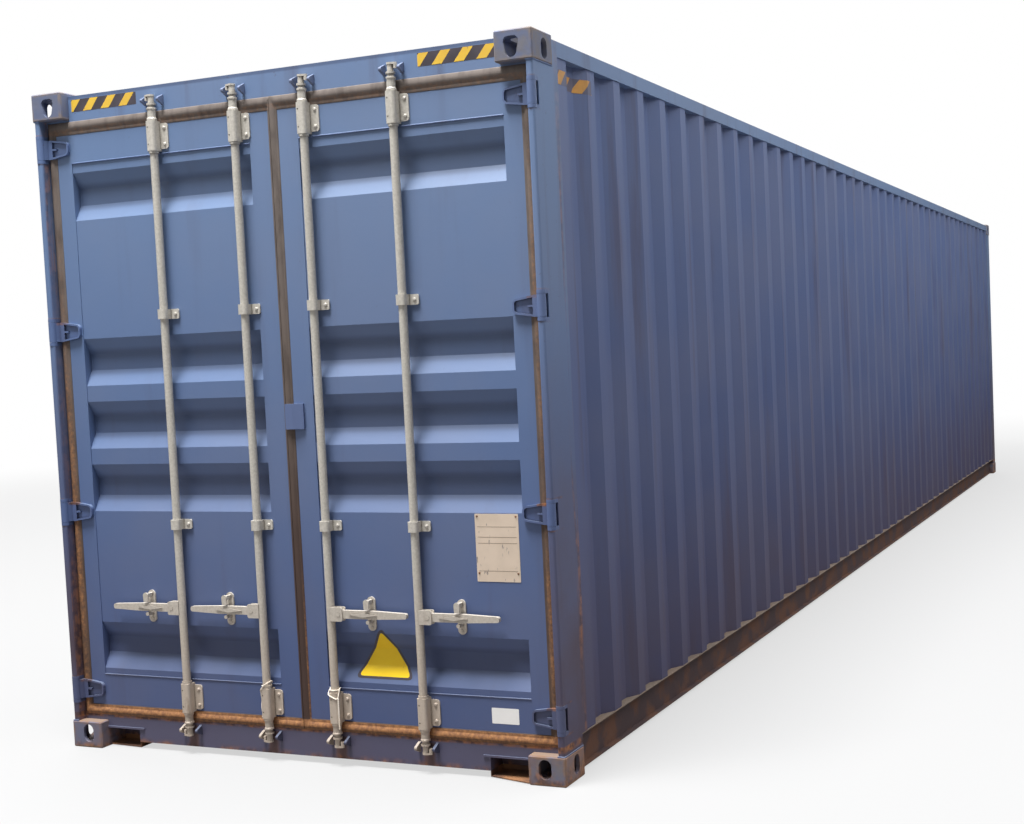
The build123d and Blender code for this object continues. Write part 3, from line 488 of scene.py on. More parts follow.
@dataclass(frozen=True)
class ProtectiveCoating:
    """Dark red-brown underframe coating with dust on what faces up."""

    name: str
    coat: Colour = tint(74, 58, 60)
    rust: Colour = tint(112, 76, 56)
    dust: Colour = tint(132, 118, 104)

    def material(self) -> bpy.types.Material:
        """The finished material."""
        s = Shader(self.name)
        blotch = s.blotches(7, 6, 0.42, 0.62)
        ledge = s.z.rise(0.158, 0.166) * (0.45 + s.noise(9, 5) * 0.6)
        colour = s.coats(self.coat, (blotch * 0.75, self.rust), (ledge, self.dust))
        return s.finish(colour, 0.72 + blotch * 0.14, 0.0, s.noise(44, 6), 0.0016, 0.5)


@dataclass(frozen=True)
class OiledPlywood:
    """Plywood deck with grain along the container and wear down its middle."""

    name: str
    pale: Colour = tint(158, 122, 88)
    dark: Colour = tint(96, 66, 46)

    def material(self) -> bpy.types.Material:
        """The finished material."""
        s = Shader(self.name)
        grain = s.blotches(38, 7, 0.34, 0.68, (1.0, 0.06, 1.0))
        scuffs = s.blotches(2.2, 6, 0.50, 0.68)
        colour = s.coats(self.dark, (grain, self.pale), (scuffs * 0.45, tint(92, 84, 78)))
        return s.finish(colour, 0.55 + scuffs * 0.18, 0.0, grain, 0.0008, 0.4)


@dataclass(frozen=True)
class PrintedMark:
    """A film or thin plate of one colour that has faded, scratched and caught dirt."""

    name: str
    ground: Colour
    worn: Colour
    wear: float = 0.35
    rough: float = 0.42
    metal: float = 0.0

    def material(self) -> bpy.types.Material:
        """The finished material."""
        s = Shader(self.name)
        fade = s.blotches(9, 5, 0.36, 0.68)
        scratch = s.blotches(60, 5, 0.66, 0.72, (1.0, 1.0, 0.3))
        colour = s.coats(self.ground, (fade * self.wear, self.worn),
                         (scratch * self.wear * 1.4, tint(88, 84, 92)))
        rough = self.rough + fade * 0.14
        return s.finish(colour, rough, self.metal, s.noise(80, 4), 0.0004, 0.3)


class Finishes:
    """Every material of the container, made once."""

    def __init__(self) -> None:
        """Makes the materials."""
        # The frame's paint carries painted shade along the header's top and painted highlight at the hinge
        # notches' ends.
        self.frame = WeatheredPaint(
            "frame_blue", grime=tint(77, 58, 62), grime_share=0.95, grime_top=2.2,
            seam_rust=0.85, edge_rust=0.9).material()
        # The doors' paint carries painted shade in its corners and on its recessed flats.
        self.door = WeatheredPaint(
            "door_blue", grime_share=0.16, streaks=0.12, chips=0.10, seam_rust=0.35,
            crevice_shade=0.45, crevice_shade_reach=0.035, recess_shade=0.35).material()
        self.wall = WeatheredPaint(
            "wall_blue", tint(90, 107, 149), tint(62, 71, 112), tint(78, 60, 66),
            streaks=0.40, chips=0.10).material()
        self.roof = WeatheredPaint(
            "roof_blue", tint(82, 92, 122), tint(74, 80, 108), tint(84, 72, 74),
            streaks=0.30, settled_dust_and_sheen=0.15).material()
        # The forgings' paint carries painted shade in its corners.
        self.forging = WeatheredPaint(
            "forged_blue", tint(92, 114, 157), tint(74, 91, 135), chips=0.4, seam_rust=0.4,
            blade_rust=0.9, crevice_shade=0.85, crevice_shade_reach=0.016).material()
        # The keepers' paint carries painted shade in their corners.
        self.keeper = WeatheredPaint(
            "keeper_blue", tint(104, 118, 150), tint(72, 82, 112), chips=0.5, crevice_shade=0.8,
            settled_dust_and_sheen=0.3, zinc_left_of=BARS).material()
        self.rusted = ProtectiveCoating(
            "rusted_plate", tint(98, 68, 52), tint(160, 112, 72), tint(140, 104, 74)).material()
        self.casting = WornCasting("worn_casting").material()
        self.zinc = DullZinc("dull_zinc").material()
        self.rubber = AgedRubber("aged_rubber").material()
        self.coating = ProtectiveCoating("underframe_coating").material()
        self.plywood = OiledPlywood("oiled_plywood").material()

        def mark(name: str, ground: Colour, worn: Colour, *rest: float) -> bpy.types.Material:
            """A film's or thin plate's material, with its wear, roughness and metal in rest."""
            return PrintedMark(name, ground, worn, *rest).material()

        self.yellow = mark("hazard_yellow", tint(232, 190, 62), tint(206, 160, 70))
        self.black = mark("hazard_black", tint(62, 56, 62), tint(84, 78, 90), 0.5)
        self.amber = mark("side_amber", tint(212, 154, 72), tint(150, 118, 86), 0.6)
        self.faded = mark("faded_black", tint(92, 90, 108), tint(98, 102, 126), 0.8)
        self.triangle = mark("triangle_yellow", tint(255, 214, 18), tint(244, 194, 24), 0.3)
        self.plate = mark("plate_metal", tint(226, 207, 187), tint(206, 188, 168), 0.5, 0.45, 0.10)
        self.plate_ink = mark("plate_ink", tint(130, 112, 96), tint(160, 142, 124))
        self.sticker = mark("white_film", tint(248, 246, 243), tint(226, 224, 222), 0.2)
        self.tie = mark("cream_tie", tint(250, 242, 228), tint(224, 196, 160), 0.4, 0.6)
        self.rusty_bolt = mark("rusty_bolt", tint(140, 96, 64), tint(96, 70, 54), 0.8, 0.7)


class Dresser:
    """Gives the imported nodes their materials."""

    def __init__(self, finishes: Finishes) -> None:
        """Keeps the materials."""
        self.finishes = finishes

    def choice(self, node: str) -> bpy.types.Material:
        """The material that a node wears.

        Args:
            node: the node's name.

        Returns:
            Its material.
        """
        f = self.finishes
        under = ("cross_members", "outriggers", "tunnel", "bottom_side_rail")
        if node.endswith("_fitting"):
            return f.casting
        if "gasket" in node:
            return f.rubber
        if node.endswith(("locking_bar", "_handle", "bar_brackets", "handle_retainers")):
            return f.zinc
        if node == "floor_deck":
            return f.plywood
        if any(word in node for word in under):
            return f.coating
        if node == "roof_panel":
            return f.roof
        if node in ("left_side_wall", "right_side_wall", "front_wall"):
            return f.wall
        if "keepers" in node:
            return f.keeper
        if "hinge" in node or node == "door_overlap_tab":
            return f.forging
        if "_door_" in node:
            return f.door
        return f.frame

    def dress(self) -> None:
        """Assigns a material to every node's slots."""
        for name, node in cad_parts.items():
            material = self.choice(name)
            if not node.data.materials:
                node.data.materials.append(material)
            for slot in node.material_slots:
                slot.material = material
        log.info("dressed %d nodes", len(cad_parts))


def linked(name: str, data: bpy.types.ID) -> bpy.types.Object:
    """A new object of some data, put in the scene."""
    thing = bpy.data.objects.new(name, data)
    bpy.context.scene.collection.objects.link(thing)
    return thing


def meshed(shape: bmesh.types.BMesh, name: str) -> bpy.types.Mesh:
    """The mesh of a finished shape, after which the shape is gone."""
    mesh = bpy.data.meshes.new(name + "_draft")
    shape.to_mesh(mesh)
    shape.free()
    return mesh


def settle(mesh: bpy.types.Mesh, name: str, material: bpy.types.Material | None, body: Body) -> bpy.types.Object:
    """Puts a finished mesh in the scene as a piece.

    Args:
        mesh: the mesh, in its place.
        name: the piece's name.
        material: its material, or None where the mesh already has one.
        body: the body that it rides on.

    Returns:
        The piece.
    """
    piece = linked(name, mesh)
    mesh.name = name
    if material is not None:
        mesh.materials.clear()
        mesh.materials.append(material)
    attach(piece, body.value)
    log.info("%s: %d faces on %s", name, len(mesh.polygons), body.value)
    return piece


def evaluated(source: bpy.types.Object) -> bpy.types.Mesh:
    """The plain mesh that an object's modifiers give, after which the object is gone."""
    bpy.context.view_layer.update()
    depsgraph = bpy.context.evaluated_depsgraph_get()
    mesh = bpy.data.meshes.new_from_object(source.evaluated_get(depsgraph))
    source.modifiers.clear()
    bpy.data.objects.remove(source)
    return mesh


def draft(name: str, points: list[Point], edges: list[tuple[int, int]] | None = None,
          faces: list[tuple[int, ...]] | None = None) -> bpy.types.Object:
    """A working object from points, edges and faces."""
    mesh = bpy.data.meshes.new(name + "_draft")
    mesh.from_pydata(points, edges or [], faces or [])
    return linked(name + "_draft", mesh)


class GeometryTree(Graph):
    """A Geometry Nodes tree with named sizes, run once on a draft."""

    def __init__(self, name: str, sizes: dict[str, float]) -> None:
        """Makes the tree's interface from its named inputs and their values."""
        tree = bpy.data.node_groups.new(name, "GeometryNodeTree")
        super().__init__(tree)
        add = tree.interface.new_socket
        add("Geometry", in_out="INPUT", socket_type="NodeSocketGeometry")
        self.identifiers = {
            key: add(key, in_out="INPUT", socket_type="NodeSocketFloat").identifier
            for key in sizes}
        add("Geometry", in_out="OUTPUT", socket_type="NodeSocketGeometry")
        self.sizes = sizes
        self.inlet = self.node("NodeGroupInput")

    def size(self, key: str) -> Sock:
        """One of the tree's named sizes."""
        return self.out(self.inlet, key)

    def tube(self, curve: Sock, sides: int) -> Sock:
        """A capped tube round a curve, of the tree's Radius and with a ring at every Spacing."""
        even = self.node("GeometryNodeResampleCurve", {"mode": "LENGTH"},
                         {"Curve": curve, "Length": self.size("Spacing")})
        ring = self.node("GeometryNodeCurvePrimitiveCircle", {"mode": "RADIUS"},
                         {"Resolution": sides, "Radius": self.size("Radius")})
        return self.out(self.node("GeometryNodeCurveToMesh", None, {
            "Curve": self.out(even), "Profile Curve": self.out(ring), "Fill Caps": True}))

    def close(self, shape: Sock, material: bpy.types.Material) -> None:
        """Ends the tree in Realize Instances and Set Material."""
        real = self.node("GeometryNodeRealizeInstances", None, {0: shape})
        dressed = self.node("GeometryNodeSetMaterial", None,
                            {0: self.out(real), "Material": material})
        self.node("NodeGroupOutput", None, {0: self.out(dressed)})

    def run(self, source: bpy.types.Object) -> bpy.types.Mesh:
        """The mesh that the tree makes from a draft."""
        modifier = source.modifiers.new("Shape", "NODES")
        modifier.node_group = self.tree
        for key, identifier in self.identifiers.items():
            modifier[identifier] = self.sizes[key]
        return evaluated(source)


@dataclass
class PhotoView:
    """The camera at the photograph's place, found from the corner fittings."""

    place: Point = (3.5195, -10.9384, 1.6954)
    turn: Point = (1.6149, 0.2806, -0.3310)
    focal_pixels: float = 1414.03
    centre: Flat = (628.775, 426.393)
    picture: Flat = (1024.0, 824.0)
    sensor: float = 36.0

    def build(self) -> None:
        """Makes the camera and sets it as the scene's."""
        turn = Vector(self.turn)
        right, down, ahead = Matrix.Rotation(turn.length, 3, turn.normalized())
        data = bpy.data.cameras.new("photo_view")
        data.sensor_fit = "HORIZONTAL"
        data.sensor_width = self.sensor
        data.lens = self.focal_pixels / self.picture[0] * self.sensor
        data.shift_x = (self.picture[0] / 2 - self.centre[0]) / self.picture[0]
        data.shift_y = (self.centre[1] - self.picture[1] / 2) / self.picture[0]
        data.clip_end = 200
        camera = linked("photo_view", data)
        axes = Matrix((right, -down, -ahead)).transposed().to_4x4()
        camera.matrix_world = Matrix.Translation(self.place) @ axes
        bpy.context.scene.camera = camera
        log.info("camera at %s", self.place)


@dataclass
class Studio:
    """Soft lamps, a pale floor and a white background."""

    sky_strength: float = 0.25
    floor_half: float = 60.0
    lamps: list[tuple[str, Point, Point, float, float]] = field(default_factory=lambda: [
        ("overhead", (-0.6, -8.5, 12.4), (0.0, -6.0, 1.2), 4.0, 3200.0),
        ("side_overhead", (7.5, -1.0, 11.0), (1.0, 0.0, 1.0), 12.0, 1500.0),
        ("left_overhead", (-8.5, 1.5, 10.0), (-1.0, 0.5, 1.0), 12.0, 1500.0),
        ("back_overhead", (0.5, 15.5, 9.5), (0.0, 6.0, 1.2), 8.0, 1300.0),
        ("front_left", (-7.0, -15.0, 6.0), (0.0, -6.0, 1.2), 7.0, 150.0)])

    def light(self) -> None:
        """Hangs the lamps and lights the world."""
        for name, place, aim, size, power in self.lamps:
            data = bpy.data.lights.new(name, "AREA")
            data.shape, data.size, data.energy = "SQUARE", size, power
            heading = (Vector(aim) - Vector(place)).to_track_quat("-Z", "Y").to_matrix().to_4x4()
            linked(name, data).matrix_world = Matrix.Translation(place) @ heading
        world = bpy.data.worlds.new("soft_white")
        world.use_nodes = True
        bpy.context.scene.world = world
        g = Graph(world.node_tree)
        seen = g.out(g.node("ShaderNodeLightPath"), "Is Camera Ray")
        dim = g.node("ShaderNodeBackground", None,
                     {"Color": (0.93, 0.96, 1.0, 1.0), "Strength": self.sky_strength})
        white = g.node("ShaderNodeBackground", None, {"Color": WHITE, "Strength": 1.0})
        mixed = g.node("ShaderNodeMixShader", None, {0: seen, 1: g.out(dim), 2: g.out(white)})
        g.node("ShaderNodeOutputWorld", None, {"Surface": g.out(mixed)})

    def lay_floor(self) -> None:
        """Lays the floor, which keeps the shadow and fades to white with distance."""
        h = self.floor_half
        floor = draft("floor", [(-h, -h, 0.0), (h, -h, 0.0), (h, h, 0.0), (-h, h, 0.0)],
                      faces=[(0, 1, 2, 3)])
        floor.name = "floor"
        s = Shader("pale_floor")
        seen = s.out(s.node("ShaderNodeLightPath"), "Is Camera Ray")
        shade = s.mix(seen, (0.18, 0.17, 0.165, 1.0), (0.34, 0.34, 0.34, 1.0))
        pale = s.node("ShaderNodeBsdfDiffuse", None, {"Color": shade})
        white = s.node("ShaderNodeEmission", None, {"Color": WHITE, "Strength": 1.0})
        length = s.node("ShaderNodeVectorMath", {"operation": "LENGTH"}, {0: s.place})
        reach = s.out(length, "Value")
        share = seen * (0.62 + reach.rise(7.0, 18.0) * 0.38)
        mixed = s.node("ShaderNodeMixShader", None, {0: share, 1: s.out(pale), 2: s.out(white)})
        s.node("ShaderNodeOutputMaterial", None, {"Surface": s.out(mixed)})
        floor.data.materials.append(s.material)

    def build(self) -> None:
        """Lights the scene and lays its floor."""
        self.light()
        self.lay_floor()
        bpy.context.scene.view_settings.view_transform = "Standard"


def clipped(outline: list[Flat], axis: int, limit: float, keep_above: bool) -> list[Flat]:
    """The part of a convex outline on one side of a line.

    Args:
        outline: its corners.
        axis: 0 or 1, the coordinate that the line fixes.
        limit: where the line is.
        keep_above: whether the part above the line is kept.

    Returns:
        The corners of the part, or nothing.
    """
    kept: list[Flat] = []
    for here, after in zip(outline, outline[1:] + outline[:1]):
        inside = (here[axis] >= limit) == keep_above or here[axis] == limit
        inside_after = (after[axis] >= limit) == keep_above or after[axis] == limit
        if inside:
            kept.append(here)
        if inside != inside_after:
            share = (limit - here[axis]) / (after[axis] - here[axis])
            kept.append(tuple(here[i] + share * (after[i] - here[i]) for i in (0, 1)))
    return kept


@dataclass
class Relief:
    """A folded surface that thin films lie on: flat runs between its breaks along one axis."""

    axis: int
    breaks: list[tuple[float, float]]
    upright: bool = False
    side: int = 1

    def depth(self, along: float) -> float:
        """Height of the surface at a place along its breaks."""
        for (a, p), (b, q) in zip(self.breaks, self.breaks[1:]):
            if a <= along <= b:
                return p + (q - p) * (along - a) / (b - a)
        return self.breaks[0][1] if along < self.breaks[0][0] else self.breaks[-1][1]

    def lift(self, point: Flat) -> Point:
        """A flat point, put on the surface."""
        depth = self.depth(point[self.axis])
        if self.upright:
            return (self.side * depth, point[0], point[1])
        return (point[0], depth, point[1])

    def film(self, name: str, outlines: list[list[Flat]], thickness: float) -> bpy.types.Mesh:
        """A thin closed film that follows the surface.

        Args:
            name: the draft's name.
            outlines: convex outlines on the flat.
            thickness: how far it stands off.

        Returns:
            The film's mesh.
        """
        shape = bmesh.new()
        levels = [level for level, _ in self.breaks]
        spans = list(zip([-math.inf] + levels, levels + [math.inf]))
        for outline in outlines:
            for low, high in spans:
                part = clipped(outline, self.axis, low, True)
                part = clipped(part, self.axis, high, False) if len(part) > 2 else []
                part = [p for i, p in enumerate(part) if Vector(p) != Vector(part[i - 1])]
                if len(part) > 2:
                    shape.faces.new([shape.verts.new(self.lift(p)) for p in part])
        bmesh.ops.remove_doubles(shape, verts=shape.verts, dist=1e-6)
        outward = Vector((self.side, 0, 0)) if self.upright else Vector((0, -1, 0))
        for face in shape.faces:
            face.normal_update()
            if face.normal.dot(outward) < 0:
                face.normal_flip()
        piece = linked(name + "_draft", meshed(shape, name))
        solid = piece.modifiers.new("Thick", "SOLIDIFY")
        solid.thickness, solid.offset = thickness, 1.0
        return evaluated(piece)


def plain(face: float) -> Relief:
    """An unfolded surface that faces the doors' front, at a place along y."""
    return Relief(1, [(0.0, face)])


def rectangle(left: float, right: float, low: float, high: float) -> list[Flat]:
    """The corners of a rectangle on the flat."""
    return [(left, low), (right, low), (right, high), (left, high)]


@dataclass(frozen=True)
class Stripes:
    """Slanted stripes: where the first one starts before the band, and their sizes.

    Each stripe's top stands to the right of its foot by the lean. The margin is left free above
    and below them.
    """

    lead: float
    pitch: float
    width: float
    lean: float
    margin: float = 0.001

    def cut(self, left: float, right: float, low: float, high: float) -> list[list[Flat]]:
        """The stripes' outlines, cut to a rectangle."""
        stripes = []
        foot = left - self.lead
        while foot < right:
            tops = (foot + self.width + self.lean, foot + self.lean)
            outline = [(foot, low + self.margin), (foot + self.width, low + self.margin),
                       *((x, high - self.margin) for x in tops)]
            outline = clipped(clipped(outline, 0, left, True), 0, right, False)
            if len(outline) > 2:
                stripes.append(outline)
            foot += self.pitch
        return stripes


@dataclass
class HazardStripes:
    """Yellow and black bands on the header and on the side walls beside it."""

    finishes: Finishes
    header_front: float = -6.046
    header_levels: Flat = (2.811, 2.864)
    header_film: float = 0.0004
    bands: tuple[Flat, Flat] = ((-1.040, -0.686), (0.698, 1.056))
    header_stripes: Stripes = Stripes(lead=0.0352, pitch=0.098, width=0.044, lean=0.042)
    wall_span: Flat = (-5.862, -5.534)
    wall_levels: Flat = (2.718, 2.776)
    wall_film: float = 0.0005
    wall_breaks: tuple[Flat, ...] = ((-5.866, 1.210), (-5.776, 1.210), (-5.708, 1.174),
                                     (-5.638, 1.174), (-5.570, 1.210), (-5.498, 1.210))
    wall_stripes: Stripes = Stripes(lead=0.03, pitch=0.118, width=0.058, lean=0.050)

    def on_header(self) -> None:
        """Makes the header's bands with their stripes."""
        film = self.header_film
        for side, span in zip(("left", "right"), self.bands):
            for layer, outlines, finish, off in (
                    ("band", [rectangle(*span, *self.header_levels)], self.finishes.black, 0.0),
                    ("stripes", self.header_stripes.cut(*span, *self.header_levels),
                     self.finishes.yellow, film)):
                settle(plain(self.header_front - off).film(layer, outlines, film),
                       f"header_{side}_{layer}", finish, Body.FRAME)

    def on_walls(self) -> None:
        """Makes the bands that follow the folds of the side walls."""
        film = self.wall_film
        for side, name in ((-1, "left"), (1, "right")):
            for layer, outlines, finish, off in (
                    ("band", [rectangle(*self.wall_span, *self.wall_levels)],
                     self.finishes.faded, 0.0),
                    ("stripes", self.wall_stripes.cut(*self.wall_span, *self.wall_levels),
                     self.finishes.amber, film)):
                fold = Relief(0, [(y, x + off) for y, x in self.wall_breaks], True, side)
                settle(fold.film(layer, outlines, film), f"wall_{name}_{layer}", finish,
                       Body.FRAME)

    def build(self) -> None:
        """Makes all the bands."""
        self.on_header()
        self.on_walls()


def rounded(corners: list[Flat], radius: float, steps: int = 6) -> list[Flat]:
    """A convex outline with its corners rounded by a quadratic curve."""
    points: list[Flat] = []
    for i, corner in enumerate(corners):
        here = Vector(corner)
        before = (Vector(corners[i - 1]) - here).normalized() * radius + here
        after = (Vector(corners[(i + 1) % len(corners)]) - here).normalized() * radius + here
        for k in range(steps + 1):
            t = k / steps
            points.append(tuple(before * (1 - t) ** 2 + here * 2 * t * (1 - t) + after * t ** 2))
    return points


@dataclass
class DoorMarks:
    """The bare plate, the bare white film and the bare yellow triangle on the right leaf."""

    finishes: Finishes
    recess: float = 0.036
    low_recess: tuple[float, float, float, float] = (0.353, 0.421, 0.493, 0.561)
    plate: tuple[float, float, float, float] = (0.847, 1.038, 0.786, 1.055)
    plate_thickness: float = 0.0012
    rule_inset: float = 0.010
    rule_width: float = 0.0016
    rule_rises: tuple[float, ...] = (0.042, 0.152, 0.176, 0.217)
    rule_film: float = 0.0003
    sticker: tuple[float, float, float, float] = (0.882, 1.002, 0.220, 0.283)
    corner: float = 0.004
    film: float = 0.0004
    triangle: tuple[Flat, Flat, Flat] = ((0.263, 0.379), (0.508, 0.379), (0.389, 0.570))
    triangle_corner: float = 0.020
    border_growth: float = 1.15
    border_corner: float = 0.032

    def panel(self, off: float = 0.0) -> Relief:
        """The door panel's low recess as a surface."""
        a, b, c, d = self.low_recess
        face, deep = PANEL_FACE - off, PANEL_FACE + self.recess - off
        return Relief(1, [(a, face), (b, deep), (c, deep), (d, face)])

    def build(self) -> None:
        """Makes the three marks."""
        f = self.finishes
        left, right, low, _ = self.plate
        rules = [rectangle(left + self.rule_inset, right - self.rule_inset, low + rise,
                           low + rise + self.rule_width) for rise in self.rule_rises]
        centre = sum((Vector(p) for p in self.triangle), Vector((0.0, 0.0))) / 3
        border = [tuple(centre + (Vector(p) - centre) * self.border_growth) for p in self.triangle]
        for name, ground, outlines, thickness, finish, slot in (
                ("data_plate", plain(PANEL_FACE), [rounded(rectangle(*self.plate), self.corner)],
                 self.plate_thickness, f.plate, Slot.ZINC),
                ("data_plate_rules", plain(PANEL_FACE - self.plate_thickness), rules,
                 self.rule_film, f.plate_ink, Slot.ZINC),
                ("white_film", plain(LEAF_FACE), [rounded(rectangle(*self.sticker), self.corner)],
                 self.film, f.sticker, Slot.DOOR_PAINT),
                ("triangle_border", self.panel(), [rounded(border, self.border_corner)],
                 self.film, f.black, Slot.DOOR_PAINT),
                ("yellow_triangle", self.panel(self.film),
                 [rounded(list(self.triangle), self.triangle_corner)], self.film, f.triangle,
                 Slot.DOOR_PAINT)):
            settle(ground.film(name, outlines, thickness), name, finish, Body.RIGHT_DOOR)


@dataclass
class Fasteners:
    """Domed heads on the bracket flanges, the handle retainers and the data plate."""

    finishes: Finishes
    flange: float = 0.006
    flange_place: float = 0.045
    tall_levels: Flat = (0.249, 2.662)
    tall_spread: float = 0.034
    short_levels: Flat = (1.005, 1.909)
    retainer_offset: float = 0.182
    retainer_plate: float = 0.006
    handle_level: float = 0.642
    retainer_spread: float = 0.055
    head: Flat = (0.0075, 0.005)
    plate_head: Flat = (0.0042, 0.0024)
    plate_inset: float = 0.010
    plate_rise: float = 0.034

    def heads(self, name: str, points: list[Point], head: Flat,
              material: bpy.types.Material) -> bpy.types.Mesh:
        """Heads that stand on points and face the doors' front.

        Args:
            name: the tree's name.
            points: where they stand.
            head: a head's radius and how far it stands off.
            material: its material.

        Returns:
            One mesh with all the heads.
        """
        radius, height = head
        g = GeometryTree(name, {"Radius": radius, "Height": height})
        low = g.node("GeometryNodeMeshCylinder", None, {
            "Vertices": 16, "Radius": g.size("Radius"), "Depth": g.size("Height")})
        dome = g.node("GeometryNodeMeshCone", None, {
            "Vertices": 16, "Radius Bottom": g.size("Radius"),
            "Radius Top": g.size("Radius") * 0.55, "Depth": g.size("Height") * 0.5})
        lifted = g.node("GeometryNodeTransform", None,
                        {0: g.out(dome), "Translation": (0, 0, height / 2)})
        joined = g.node("GeometryNodeJoinGeometry")
        for part in (low, lifted):
            g.tree.links.new(part.outputs[0], joined.inputs[0])
        placed = g.node("GeometryNodeInstanceOnPoints", None, {
            "Points": g.out(g.inlet, 0), "Instance": g.out(joined),
            "Rotation": (math.pi / 2, 0.0, 0.0)})
        g.close(g.out(placed), material)
        return g.run(draft(name, points))

    def build(self) -> None:
        """Makes the heads of each leaf and those of the plate."""
        face, deep = LEAF_FACE - self.flange, PANEL_FACE - self.retainer_plate
        for side, body, sign in (("left", Body.LEFT_DOOR, -1), ("right", Body.RIGHT_DOOR, 1)):
            points: list[Point] = []
            for x in (bar for bar in BARS if bar * sign > 0):
                points += [(x + self.flange_place, face, level + step) for level in self.tall_levels
                           for step in (-self.tall_spread, self.tall_spread)]
                points += [(x + self.flange_place, face, level) for level in self.short_levels]
                points += [(x + sign * self.retainer_offset, deep, self.handle_level + step)
                           for step in (-self.retainer_spread, self.retainer_spread)]
            settle(self.heads(f"{side}_heads", points, self.head, self.finishes.zinc),
                   f"{side}_door_rivets", None, body)
        marks = DoorMarks(self.finishes)
        left, right, low, high = marks.plate
        corners = [(x, PANEL_FACE - marks.plate_thickness, z)
                   for x in (left + self.plate_inset, right - self.plate_inset)
                   for z in (low + self.plate_rise, high - self.plate_inset)]
        settle(self.heads("plate_heads", corners, self.plate_head, self.finishes.rusty_bolt),
               "data_plate_rivets", None, Body.RIGHT_DOOR)


def chained(runs: list[list[Point]]) -> tuple[list[Point], list[tuple[int, int]]]:
    """The points of some runs, and the edges that join each run's points in order."""
    points: list[Point] = []
    edges: list[tuple[int, int]] = []
    for run in runs:
        edges += [(len(points) + i, len(points) + i + 1) for i in range(len(run) - 1)]
        points += run
    return points, edges


@dataclass
class WeldBeads:
    """Rippled beads where the leaf rails meet the panels and the posts meet the castings."""

    finishes: Finishes
    radius: float = 0.0034
    ripple: float = 0.0011
    ripple_scale: float = 130.0
    spacing: float = 0.006
    levels: Flat = (0.325, 2.590)
    leaves: tuple[tuple[Body, str, float, float], ...] = (
        (Body.LEFT_DOOR, "left", -1.060, -0.115), (Body.RIGHT_DOOR, "right", 0.125, 1.060))
    leaf_face: float = -6.0435
    post_lip: float = 1.184
    post_side: float = 1.214
    post_front: float = -6.091
    post_back: float = -5.918
    joints: Flat = (0.118, 2.778)

    def bead(self, name: str, runs: list[list[Point]]) -> bpy.types.Mesh:
        """Beads along runs of points.

        Args:
            name: the tree's name.
            runs: the points of each run.

        Returns:
            One mesh with all the beads.
        """
        points, edges = chained(runs)
        g = GeometryTree(name, {"Radius": self.radius, "Ripple": self.ripple,
                                "Spacing": self.spacing})
        curve = g.node("GeometryNodeMeshToCurve", None, {0: g.out(g.inlet, 0)})
        tube = g.tube(g.out(curve), 8)
        noise = g.node("ShaderNodeTexNoise", None, {"Scale": self.ripple_scale, "Detail": 2.0})
        normal = g.node("GeometryNodeInputNormal")
        push = g.node("ShaderNodeVectorMath", {"operation": "SCALE"},
                      {0: g.out(normal), "Scale": (g.out(noise) - 0.5) * g.size("Ripple") * 2.0})
        moved = g.node("GeometryNodeSetPosition", None, {"Geometry": tube, "Offset": g.out(push)})
        g.close(g.out(moved), self.finishes.forging)
        return g.run(draft(name, points, edges))

    def build(self) -> None:
        """Makes the beads of each leaf and of the posts."""
        for body, side, left, right in self.leaves:
            runs = [[(left, self.leaf_face, z), (right, self.leaf_face, z)] for z in self.levels]
            settle(self.bead(f"{side}_bead", runs), f"{side}_door_welds", None, body)
        corner = ((self.post_lip, self.post_front), (self.post_side, self.post_front),
                  (self.post_side, self.post_back))
        runs = [[(sign * x, y, z) for x, y in corner] for sign in (-1, 1) for z in self.joints]
        settle(self.bead("post_bead", runs), "post_welds", None, Body.FRAME)


